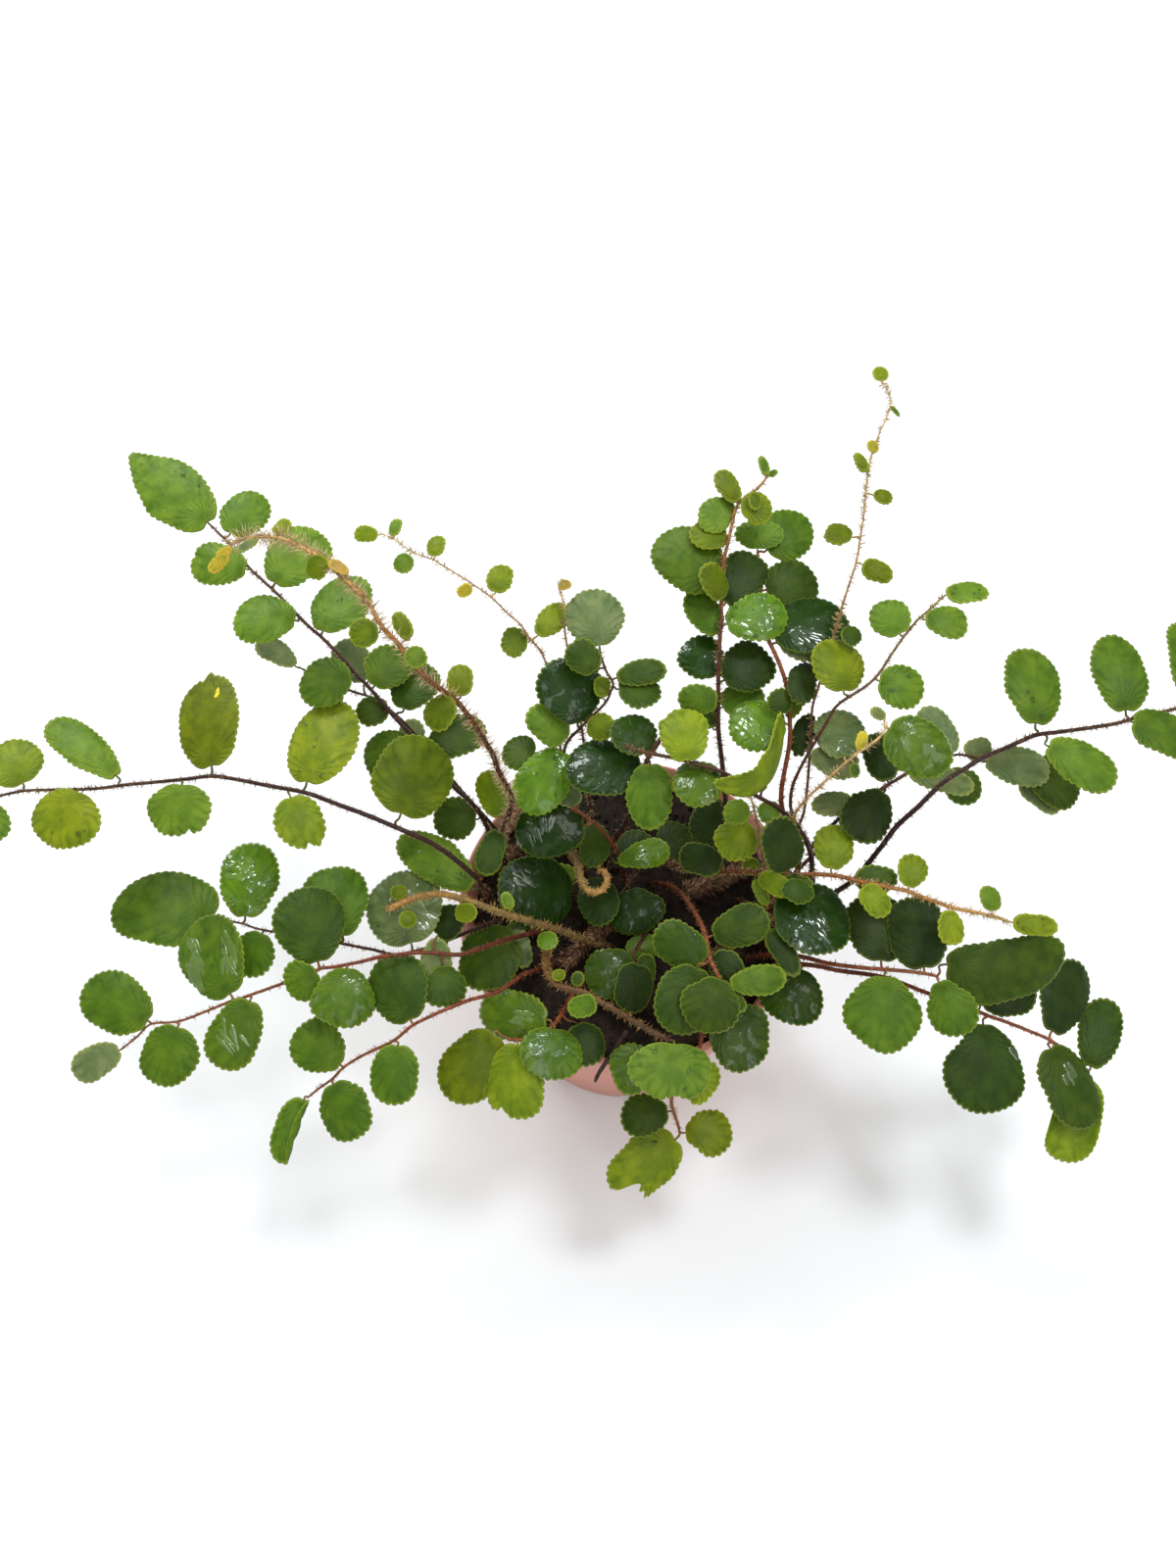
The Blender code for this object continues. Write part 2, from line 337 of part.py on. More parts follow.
def part_stems(stems, fixed):
    """Bends stems apart where two would touch, mostly along the line of sight."""
    tips = [np.array([p[:] for p in stem.points]) for stem in stems]
    count = [len(t) for t in tips]
    owner = np.concatenate([np.full(n, i) for i, n in enumerate(count)])
    radius = np.concatenate([[stem.radius(a) for a in stem.along] for stem in stems])
    local = np.concatenate([np.arange(n) for n in count])
    stuck = np.isin(owner, fixed)
    for turn in range(40):
        pts = np.concatenate(tips)
        push = np.zeros_like(pts)
        busy = False
        for i in range(len(pts)):
            if owner[i] in fixed:
                continue
            near = np.nonzero((np.abs(pts - pts[i]) < 6.0).all(axis=1) & (owner != owner[i]))[0]
            if not len(near):
                continue
            gap = pts[i] - pts[near]
            far = np.linalg.norm(gap, axis=1)
            want = radius[i] + radius[near] + GAP + 0.35
            short = np.sqrt(np.maximum(want ** 2 - 0.0, 0)) - far
            k = int(np.argmax(short))
            if short[k] <= 0:
                continue
            busy = True
            way = gap[k] / max(far[k], 1e-6)
            eye = np.array((BACK * 1.0)[:])
            sign = 1.0 if way @ eye > 0 or (abs(way @ eye) < 0.05 and owner[i] > owner[near[k]]) else -1.0
            way = way * 0.35 + eye * sign * 0.65
            share = 1.0 if stuck[near[k]] else 0.55
            push[i] += way * (short[k] * share + 0.02)
        if not busy:
            break
        start = 0
        for n_i, n in enumerate(count):
            part = push[start:start + n]
            if np.abs(part).max() > 0:
                soft = part.copy()
                for d in range(1, 7):
                    w = math.exp(-(d / 3.5) ** 2)
                    moved = np.zeros_like(part)
                    moved[d:] += part[:-d] if n > d else 0
                    other = np.zeros_like(part)
                    other[:-d] += part[d:] if n > d else 0
                    for cand in (moved * w, other * w):
                        big = np.linalg.norm(cand, axis=1) > np.linalg.norm(soft, axis=1)
                        soft[big] = cand[big]
                soft[0, 2] = 0.0
                tips[n_i] = tips[n_i] + soft
                low = SOIL_TOP + 0.6 + radius[start:start + n]
                inside = np.hypot(tips[n_i][:, 0], tips[n_i][:, 1]) < RIM_RADIUS
                rise = inside & (local[start:start + n] > 0) & (tips[n_i][:, 2] < low)
                tips[n_i][rise, 2] = low[rise]
            start += n
    return [Stem([Vector(p) for p in t], stem.thick, stem.thin) for t, stem in zip(tips, stems)]


def breadth(t, oblong):
    """Half the breadth of a leaflet at t of its length, as a share of its widest."""
    x = 2 * t - 1
    if x < 0:
        return (1 - (-x) ** (3.4 if oblong else 2.7)) ** 0.5
    return (1 - x ** (2.9 if oblong else 2.3)) ** 0.5


def dice(*seed):
    """A number from -1 to 1 that depends only on the seed."""
    v = math.sin(sum((i + 1) * 12.9898 * s for i, s in enumerate(seed)) + 4.1414) * 43758.5453
    return 2 * (v - math.floor(v)) - 1


class Leaf:
    """A leaflet: where its stalk leaves the stem, the foot and the end of its blade, its front side and its breadth."""

    def __init__(self, frond, number, stem, spec):
        self.frond, self.number, self.stem = frond, number, stem
        self.foot_xy, self.end_xy, self.wide = spec[:2], spec[2:4], spec[4]
        self.tone = spec[5]
        self.habit = [h for h in spec[6:] if isinstance(h, str)]
        self.lift = sum(h for h in spec[6:] if not isinstance(h, str))
        self.at = stem.nearest(*self.foot_xy)
        self.last = self.at > stem.length - 1.2
        self.lean = 0.26 * dice(frond, number, 1)
        self.side_lean = 0.3 * dice(frond, number, 2)
        self.settle(0.0, 0.0)

    def settle(self, foot_shift, end_shift):
        base = self.stem.place(self.at).z + 0.4 + self.lift
        # The foot and the end are put at their heights and then moved along the line of sight.
        foot = sight(*self.foot_xy, base)
        facing = (BACK + Vector((0, 0, 1))).normalized()
        ray = (sight(*self.end_xy, base) - EYE).normalized()
        end = EYE + ray * ((foot - EYE).dot(facing) / ray.dot(facing))
        end = sight(*self.end_xy, end.z - 0.08 * (end - foot).length)
        foot = foot + (EYE - foot).normalized() * foot_shift
        end = end + (EYE - end).normalized() * end_shift
        self.foot, self.end = foot, end
        self.axis = (end - foot).normalized()
        self.long = (end - foot).length
        up = (BACK * 0.55 + Vector((0, 0, 0.45)) + Vector((self.lean, self.side_lean, 0))).normalized()
        front = up - self.axis * up.dot(self.axis)
        self.front = front.normalized()
        self.side = self.front.cross(self.axis)
        mid = foot.lerp(end, 0.5)
        ray = (mid - EYE).normalized()
        shown = (self.side - ray * self.side.dot(ray)).length
        self.half = 0.5 * self.wide * (mid - EYE).dot(LOOK) / REACH / max(shown, 0.62)
        self.oblong = self.long > 2.5 * self.half
        dome = 0.06 * self.long
        self.arch = dome

    def blade(self, t, across, raised=0.0):
        """A point of the blade: t along it, across it from -1 to 1, and raised from its middle surface."""
        bow = 0.0
        if "boat" in self.habit:
            middle = self.foot + self.axis * (self.long * (t + 0.9 * across * across))
        else:
            middle = self.foot + self.axis * (self.long * t) + self.side * bow
        sag = self.arch * 4 * t * (1 - t) - 0.05 * self.half * across * across
        return middle + self.side * (self.half * across) + self.front * (sag + raised)


RINGS = ((0.045, 0.0), (0.36, 0.0), (0.72, 0.0), (0.965, 0.0))
SMALL_RINGS = ((0.06, 0.0), (0.5, 0.0), (0.95, 0.0))


def leaf_rings(leaf, swell):
    """Rings of four points each round the blade: left front, right front, right back, left back."""
    rings = []
    for t, _ in (SMALL_RINGS if leaf.wide < 20 else RINGS):
        wide = breadth(t, leaf.oblong)
        left = right = wide
        if "half" in leaf.habit:
            left, right = wide * 1.2, wide * 0.45
        thick = LEAF_HALF + swell
        more = swell / max(leaf.half, 0.5)
        rings.append([leaf.blade(t, -left - more, thick), leaf.blade(t, right + more, thick),
                      leaf.blade(t, right + more, -thick), leaf.blade(t, -left - more, -thick)])
    return rings


def stalk_ring(leaf, swell):
    r = 0.20 + swell
    c = leaf.foot
    return [c - leaf.side * r + leaf.front * r, c + leaf.side * r + leaf.front * r,
            c + leaf.side * r - leaf.front * r, c - leaf.side * r - leaf.front * r]


def root_ring(leaf, swell):
    """The stalk's start, inside the stem."""
    r = 0.3 + swell
    c = leaf.stem.place(leaf.at)
    return [c - leaf.side * r + leaf.front * r, c + leaf.side * r + leaf.front * r,
            c + leaf.side * r - leaf.front * r, c - leaf.side * r - leaf.front * r]


def box_faces(n):
    faces = [(0, 1, 2, 3)]
    for i in range(n - 1):
        a, b = 4 * i, 4 * i + 4
        for k in range(4):
            m = (k + 1) % 4
            faces.append((a + k, b + k, b + m, a + m))
    e = 4 * (n - 1)
    faces.append((e + 3, e + 2, e + 1, e))
    return faces


def tree_of(rings):
    points = [p for ring in rings for p in ring]
    return BVHTree.FromPolygons(points, box_faces(len(rings)), all_triangles=False), points


def bounds_of(points):
    return ([min(p[i] for p in points) for i in range(3)], [max(p[i] for p in points) for i in range(3)])


def boxes_meet(a, b):
    return all(a[0][i] <= b[1][i] and b[0][i] <= a[1][i] for i in range(3))


def stem_rings(stem, swell, step=3.0):
    n = max(2, int(stem.length / step))
    rings = []
    for k in range(n + 1):
        s = stem.length * k / n
        t, side, front = frame_at(stem, s)
        r = (stem.radius(s) + swell) * 0.8
        p = stem.place(s)
        rings.append([p + side * r + front * r, p - side * r + front * r, p - side * r - front * r,
                      p + side * r - front * r])
    return rings


SHIFTS = sorted(((f, e) for f in (0, .6, -.6, 1.2, -1.2, 2, -2, 3, -3, 4, -4, 5.5, -5.5)
                 for e in [k * 0.75 * s for k in range(0, 17) for s in (1, -1)]),
                key=lambda v: (2.2 * abs(v[0]) + abs(v[1]) + 0.01 * (v[0] < 0) + 0.003 * (v[1] < 0)))


def lay_out(fronds, walls, fixed_stems):
    """Stems and leaflets of every frond, with free space between all of them and from the given walls."""
    stems = []
    for name, thick, thin, kind, route, leaves in fronds:
        stems.append(Stem(bend([sight(*p) for p in route], STEP), thick, thin))
    others = [Stem(bend([sight(*p) for p in route], STEP), r, r) for r, route in fixed_stems]
    parted = part_stems(stems + others, list(range(len(stems), len(stems) + len(others))))
    stems = parted[:len(stems)]
    placed = [("wall", None, tree, box) for tree, box in walls]
    for i, stem in enumerate(stems):
        tree, points = tree_of(stem_rings(stem, 0.0))
        placed.append(("stem", i, tree, bounds_of(points)))
    leaves, stubborn = [], []
    todo = []
    for i, (frond, stem) in enumerate(zip(fronds, stems)):
        for k, spec in enumerate(frond[5]):
            todo.append(Leaf(i, k, stem, spec))
    todo.sort(key=lambda leaf: (-leaf.half * leaf.long, leaf.frond, leaf.number))
    for leaf in todo:
        tried = 1e9
        for foot_shift, end_shift in SHIFTS:
            leaf.settle(foot_shift, foot_shift * 0.5 + end_shift)
            rings = leaf_rings(leaf, GAP)
            foot = stalk_ring(leaf, GAP * 0.6)
            whole, points = tree_of([root_ring(leaf, GAP * 0.6), foot] + rings)
            own, _ = tree_of([foot] + rings)
            blade, _ = tree_of(rings)
            box = bounds_of(points)
            if box[0][2] < SOIL_TOP and max(math.hypot(p[0], p[1]) for p in points) < RIM_RADIUS:
                continue
            hits = 0
            for what, owner, tree, other in placed:
                if not boxes_meet(box, other):
                    continue
                if owner == leaf.frond:
                    mine = blade if what == "stem" else own
                    tree = tree if what == "stem" else tree[1]
                else:
                    mine = whole
                    tree = tree[0] if what == "leaf" else tree
                if mine.overlap(tree):
                    hits += 1
                    break
            if not hits:
                break
        else:
            leaf.settle(0.0, 0.0)
            stubborn.append((fronds[leaf.frond][0], leaf.number))
        leaf.shift = (foot_shift, end_shift)
        rings = [stalk_ring(leaf, 0.0)] + leaf_rings(leaf, 0.0)
        tree, points = tree_of([root_ring(leaf, 0.0)] + rings)
        placed.append(("leaf", leaf.frond, (tree, tree_of(rings)[0]), bounds_of(points)))
        leaves.append(leaf)
    leaves.sort(key=lambda leaf: (leaf.frond, leaf.number))
    return stems, leaves, stubborn

# ---------------------------------------------------------------- pot, soil and rhizomes

POT_BASE_RADIUS = 32.0
POT_WALL = 1.2
POT_FLOOR = 1.6
RIM_LIP = 1.3           # how far the rim stands out from the wall
RIM_DEPTH = 5.0
FOOT_RECESS = 0.9       # how far the ring between the feet lies above the surface
POT_SIDES = 56
DRAIN_COUNT = 6
DRAIN_WIDE = 7.0
DRAIN_HIGH = 4.2


def wall_radius(z):
    """Outer radius of the pot's wall at height z."""
    return POT_BASE_RADIUS + (RIM_RADIUS - RIM_LIP - POT_BASE_RADIUS) * z / POT_HEIGHT


def pot_profile():
    """(radius, height) from the middle of the underside, out, up, over the rim, down inside and back to the middle."""
    low_rim = POT_HEIGHT - RIM_DEPTH
    return [(20.0, 0.0), (POT_BASE_RADIUS - 0.8, 0.0), (POT_BASE_RADIUS, 0.8), (wall_radius(low_rim), low_rim),
            (RIM_RADIUS - 0.4, low_rim + 0.5), (RIM_RADIUS, POT_HEIGHT - 1.0), (RIM_RADIUS - 0.5, POT_HEIGHT),
            (RIM_RADIUS - 1.1, POT_HEIGHT - 0.1), (RIM_RADIUS - RIM_LIP - POT_WALL + 0.1, POT_HEIGHT - 2.2),
            (wall_radius(low_rim) - POT_WALL, low_rim - 1.0), (wall_radius(3.0) - POT_WALL, 3.0),
            (POT_BASE_RADIUS - 2.8, POT_FLOOR)]


def soil_profile():
    low = POT_FLOOR + 0.35
    return [(POT_BASE_RADIUS - 3.4, low), (wall_radius(3.4) - POT_WALL - 0.5, 3.4),
            (wall_radius(SOIL_TOP - 1.5) - POT_WALL - 0.6, SOIL_TOP - 1.5)]


def lathe(profile, sides, closed_low, closed_high, wave=None):
    """Points and faces of a turned shape. Each end of the profile is closed with a flat middle."""
    points, faces = [], []
    for r, z in profile:
        for k in range(sides):
            a = 2 * math.pi * k / sides
            points.append(Vector((r * math.cos(a), r * math.sin(a), z + (wave(r, a) if wave else 0.0))))
    for i in range(len(profile) - 1):
        for k in range(sides):
            m = (k + 1) % sides
            faces.append((i * sides + k, i * sides + m, (i + 1) * sides + m, (i + 1) * sides + k))
    for ring, given, turned in ((0, closed_low, True), (len(profile) - 1, closed_high, False)):
        if given is None:
            continue
        points.append(Vector((0, 0, given)))
        c = len(points) - 1
        for k in range(sides):
            m = (k + 1) % sides
            a, b = ring * sides + k, ring * sides + m
            faces.append((a, c, b) if turned else (a, b, c))
    return points, faces


def node(name, points, faces, material):
    mesh = bpy.data.meshes.new(name)
    mesh.from_pydata([(p.x * 0.001, p.y * 0.001, p.z * 0.001) for p in points], [], faces)
    bm = bmesh.new()
    bm.from_mesh(mesh)
    bmesh.ops.triangulate(bm, faces=bm.faces[:], quad_method="SHORT_EDGE")
    bmesh.ops.recalc_face_normals(bm, faces=bm.faces[:])
    if bm.calc_volume(signed=True) < 0:
        bmesh.ops.reverse_faces(bm, faces=bm.faces[:])
    bm.to_mesh(mesh)
    bm.free()
    mesh.materials.append(material)
    obj = bpy.data.objects.new(name, mesh)
    bpy.context.scene.collection.objects.link(obj)
    return obj


def paint(name, colour, rough, coat=0.0):
    material = bpy.data.materials.new(name)
    material.use_nodes = True
    shader = material.node_tree.nodes["Principled BSDF"]
    shader.inputs["Base Color"].default_value = (*colour, 1.0)
    shader.inputs["Roughness"].default_value = rough
    shader.inputs["Coat Weight"].default_value = coat
    material.diffuse_color = (*colour, 1.0)
    return material


def make_pot(material):
    points, faces = lathe(pot_profile(), POT_SIDES, 0.0, POT_FLOOR)
    pot = node("pot", points, faces, material)
    cutter_points, cutter_faces = [], []
    for k in range(DRAIN_COUNT):
        turn = 2 * math.pi * (k + 0.5) / DRAIN_COUNT + math.radians(4.0)
        out, side = Vector((math.cos(turn), math.sin(turn), 0)), Vector((-math.sin(turn), math.cos(turn), 0))
        base = len(cutter_points)
        for r in (POT_BASE_RADIUS - 4.6, POT_BASE_RADIUS + 4.0):
            for w, z in ((-1, -1.5), (1, -1.5), (1, DRAIN_HIGH - 1.4), (0.55, DRAIN_HIGH), (-0.55, DRAIN_HIGH),
                         (-1, DRAIN_HIGH - 1.4)):
                cutter_points.append(out * r + side * (w * DRAIN_WIDE / 2) + Vector((0, 0, z)))
        cutter_faces.append(tuple(base + i for i in range(6)))
        cutter_faces.append(tuple(base + 6 + i for i in reversed(range(6))))
        for i in range(6):
            j = (i + 1) % 6
            cutter_faces.append((base + i, base + 6 + i, base + 6 + j, base + j))
    cutter = node("drain_cutter", cutter_points, cutter_faces, material)
    cutter.hide_render = True
    cutter.display_type = "WIRE"
    cut = pot.modifiers.new("drains", "BOOLEAN")
    cut.operation = "DIFFERENCE"
    cut.solver = "EXACT"
    cut.object = cutter
    return points, faces


# Rhizomes: name, radius and route, laid out like the stems.
RHIZOMES = [
    ("rhizome_left", 1.9, [(508, 892, 63.4), (520, 876, 63.6), (536, 862, 63.4), (552, 852, 63.0)]),
    ("rhizome_back", 2.3, [(698, 911, 63.6), (718, 904, 64.4), (742, 896, 64.0), (762, 885, 63.2)]),
    ("rhizome_middle", 2.2, [(630, 938, 63.4), (612, 948, 64.0), (592, 968, 64.2), (574, 984, 63.4)]),
    ("rhizome_right", 2.1, [(692, 986, 63.2), (712, 979, 64.0), (732, 974, 64.0), (746, 968, 63.4)]),
]
# The stub of a dead stem: name, radius and route.
STUB = ("dead_stem", 0.9, [(640, 1052, 61.2), (632, 1064, 64.5), (625, 1075, 67.2), (617, 1086, 68.6), (611, 1095, 67.6),
                           (607, 1104, 65.6)])


def tube(stem, sides, gap, lumps=0.0):
    """Rings round a stem, each closed at its end."""
    count = max(3, int(stem.length / gap))
    points, faces = [], []
    for i in range(count + 1):
        s = stem.length * i / count
        t, side, front = frame_at(stem, s)
        shrink = 0.55 if i in (0, count) else 1.0
        for k in range(sides):
            a = 2 * math.pi * (k + 0.5 * (i % 2) * 0) / sides
            r = stem.radius(s) * shrink * (1 + lumps * dice(i, k, sides))
            points.append(stem.place(s) + side * (r * math.cos(a)) + front * (r * math.sin(a)))
    for i in range(count):
        for k in range(sides):
            m = (k + 1) % sides
            faces.append((i * sides + k, i * sides + m, (i + 1) * sides + m, (i + 1) * sides + k))
    faces.append(tuple(reversed(range(sides))))
    faces.append(tuple(count * sides + k for k in range(sides)))
    return points, faces


# ---------------------------------------------------------------- fronds

PAIR = 0.9              # length of stem that a stalk takes up
SPACE = 0.5             # least length of bare stem between two stalks
BARE = 13.0             # longest straight run of stem
TURN = math.radians(32) # most that a straight run of stem stands for


def run_count(stem, low, high):
    """How many straight runs stand for the stem between two lengths."""
    steps = max(1, int((high - low) / 1.5))
    ways = [stem.heading(low + (high - low) * k / steps) for k in range(steps + 1)]
    turned = sum(a.angle(b) for a, b in zip(ways, ways[1:]))
    return max(1, math.ceil((high - low) / BARE), math.ceil(turned / TURN))


def frond_mesh(stem, leaves):
    """One closed surface: a four-sided stem, and a stalk and blade drawn out of it for every leaflet."""
    end_leaf = None
    side_leaves = []
    for leaf in sorted(leaves, key=lambda leaf: leaf.at):
        if leaf.last and (end_leaf is None or
                          (leaf.foot - stem.place(stem.length)).dot(stem.heading(stem.length)) >
                          (end_leaf.foot - stem.place(stem.length)).dot(stem.heading(stem.length))):
            if end_leaf is not None:
                side_leaves.append(end_leaf)
            end_leaf = leaf
        else:
            side_leaves.append(leaf)
    side_leaves.sort(key=lambda leaf: leaf.at)
    # Each stalk gets a short length of stem of its own, moved along it as little as the room allows.
    pitch = min(PAIR + SPACE, (stem.length - 0.9) / max(1, len(side_leaves)))
    pair = min(PAIR, 0.7 * pitch)
    mids, low = [], 0.5 + pair / 2
    for leaf in side_leaves:
        mids.append(max(leaf.at, low))
        low = mids[-1] + pitch
    high = stem.length - 0.25 - pair / 2
    for k in reversed(range(len(mids))):
        mids[k] = min(mids[k], high)
        high = mids[k] - pitch
    spots = [(mid - pair / 2, mid + pair / 2, leaf) for mid, leaf in zip(mids, side_leaves)]
    cuts = [0.0]
    owners = {}
    for low, high, leaf in spots:
        if low <= cuts[-1] + 0.02:
            raise ValueError(f"no room on stem {leaf.frond} for leaflet {leaf.number}")
        runs = run_count(stem, cuts[-1], low)
        start = cuts[-1]
        cuts += [start + (low - start) * k / runs for k in range(1, runs + 1)]
        owners[len(cuts) - 1] = leaf
        cuts.append(high)
    if stem.length - cuts[-1] > 0.15:
        runs = run_count(stem, cuts[-1], stem.length)
        start = cuts[-1]
        cuts += [start + (stem.length - start) * k / runs for k in range(1, runs + 1)]
    points, faces = [], []
    for s in cuts:
        t, side, front = frame_at(stem, s)
        r, c = stem.radius(s), stem.place(s)
        for x, y in ((1, 1), (-1, 1), (-1, -1), (1, -1)):
            p = c + side * (x * r * 0.8) + front * (y * r * 0.8)
            if math.hypot(p.x, p.y) < RIM_RADIUS - 1:
                p.z = max(p.z, SOIL_TOP + 0.3)
            points.append(p)
    for i in range(len(cuts) - 1):
        for k in range(4):
            m = (k + 1) % 4
            quad = (4 * i + k, 4 * i + m, 4 * i + 4 + m, 4 * i + 4 + k)
            leaf = owners.get(i)
            if leaf and k == facing_side(stem, (cuts[i] + cuts[i + 1]) / 2, leaf):
                draw_out(points, faces, quad, leaf)
            else:
                faces.append(quad)
    faces.append((3, 2, 1, 0))
    e = 4 * (len(cuts) - 1)
    if end_leaf:
        draw_out(points, faces, (e, e + 1, e + 2, e + 3), end_leaf)
    else:
        faces.append((e, e + 1, e + 2, e + 3))
    return points, faces


def facing_side(stem, s, leaf):
    """The side of the stem that the leaflet's foot lies on: 0 front, 1 and 3 sideways, 2 back."""
    t, side, front = frame_at(stem, s)
    way = leaf.foot - stem.place(s)
    return max(range(4), key=lambda k: way.dot((front, -side, -front, side)[k]))


def draw_out(points, faces, quad, leaf):
    """Draws the face out along the leaflet's stalk and blade."""
    rings = [stalk_ring(leaf, 0.0)] + leaf_rings(leaf, 0.0)
    middle = sum((points[i] for i in quad), Vector()) / 4
    # Matches each corner of the face with the ring's corner that leaves the least twist.
    first = rings[0]
    best = None
    for turn in range(4):
        for way in (1, -1):
            order = [(turn + way * k) % 4 for k in range(4)]
            cost = sum(((points[q] - middle).normalized() - (first[o] - leaf.foot).normalized()).length_squared
                       for q, o in zip(quad, order))
            ring_out = (first[order[1]] - first[order[0]]).cross(first[order[2]] - first[order[1]])
            if ring_out.dot(leaf.axis) >= 0:
                continue
            if best is None or cost < best[0]:
                best = cost, order
    order = best[1] if best else [0, 1, 2, 3]
    last = list(quad)
    for ring in rings[1:] if (leaf.foot - middle).length < 0.7 else rings:
        start = len(points)
        points.extend(ring[o] for o in order)
        fresh = [start + k for k in range(4)]
        for k in range(4):
            m = (k + 1) % 4
            faces.append((last[k], last[m], fresh[m], fresh[k]))
        last = fresh
    faces.append(tuple(last))


def wall_tree(points, faces):
    return BVHTree.FromPolygons(points, faces), bounds_of(points)


for old in list(bpy.data.objects):
    bpy.data.objects.remove(old, do_unlink=True)

plastic = paint("pot_plastic", (0.60, 0.27, 0.20), 0.42)
peat = paint("peat", (0.045, 0.030, 0.022), 0.95)
bark = paint("rhizome_bark", (0.20, 0.11, 0.065), 0.85)
dead = paint("dead_wood", (0.06, 0.035, 0.025), 0.8)
green = paint("frond_green", (0.13, 0.22, 0.045), 0.38, 0.25)

pot_points, pot_faces = make_pot(plastic)
soil_points, soil_faces = lathe(soil_profile() + [(24.0, SOIL_TOP - 0.6), (10.0, SOIL_TOP - 0.3)], 40,
                                POT_FLOOR + 0.35, SOIL_TOP - 0.2)
node("soil", soil_points, soil_faces, peat)

fixed = [(r, route) for _, r, route in RHIZOMES + [STUB]]
walls = [wall_tree(pot_points, pot_faces), wall_tree(soil_points, soil_faces)]
for name, r, route in RHIZOMES + [STUB]:
    stem = Stem(bend([sight(*p) for p in route], STEP), r, r * (0.6 if name == "dead_stem" else 0.8))
    points, faces = tube(stem, 6, 3.2, 0.12)
    node(name, points, faces, dead if name == "dead_stem" else bark)
    walls.append(wall_tree(points, faces))

stems, leaves, stubborn = lay_out(FRONDS, walls, fixed)
for i, frond in enumerate(FRONDS):
    points, faces = frond_mesh(stems[i], [leaf for leaf in leaves if leaf.frond == i])
    node(frond[0], points, faces, green)
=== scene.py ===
"""The looks of the potted button fern: fine leaflets, stems with their hairs, scaly rhizomes, peat and the pot.

Lengths in the tables and in the layout are millimetres, and meshes are written in metres in the frame's own axes.
"""

import bisect
import json
import math

import bmesh
import bpy
import numpy as np
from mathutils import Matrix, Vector
from mathutils.bvhtree import BVHTree

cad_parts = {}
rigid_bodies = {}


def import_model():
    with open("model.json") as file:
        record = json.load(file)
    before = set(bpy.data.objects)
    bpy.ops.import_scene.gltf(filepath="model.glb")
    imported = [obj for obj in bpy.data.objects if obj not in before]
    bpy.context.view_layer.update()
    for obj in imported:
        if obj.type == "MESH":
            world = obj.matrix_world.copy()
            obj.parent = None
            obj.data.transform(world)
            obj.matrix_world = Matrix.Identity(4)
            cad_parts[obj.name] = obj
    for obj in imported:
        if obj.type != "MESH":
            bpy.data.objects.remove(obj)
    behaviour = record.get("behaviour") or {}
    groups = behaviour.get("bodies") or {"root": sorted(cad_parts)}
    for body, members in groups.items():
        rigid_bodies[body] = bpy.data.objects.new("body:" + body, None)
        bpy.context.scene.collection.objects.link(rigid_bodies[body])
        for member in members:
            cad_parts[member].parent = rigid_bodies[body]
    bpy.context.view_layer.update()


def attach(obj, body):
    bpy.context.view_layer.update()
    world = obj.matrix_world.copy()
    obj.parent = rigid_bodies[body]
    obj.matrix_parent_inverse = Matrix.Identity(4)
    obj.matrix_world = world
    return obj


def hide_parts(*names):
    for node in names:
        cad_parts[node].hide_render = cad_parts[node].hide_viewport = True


for old in list(bpy.data.objects):
    bpy.data.objects.remove(old, do_unlink=True)

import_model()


# ---------------------------------------------------------------- layout of stems and leaflets

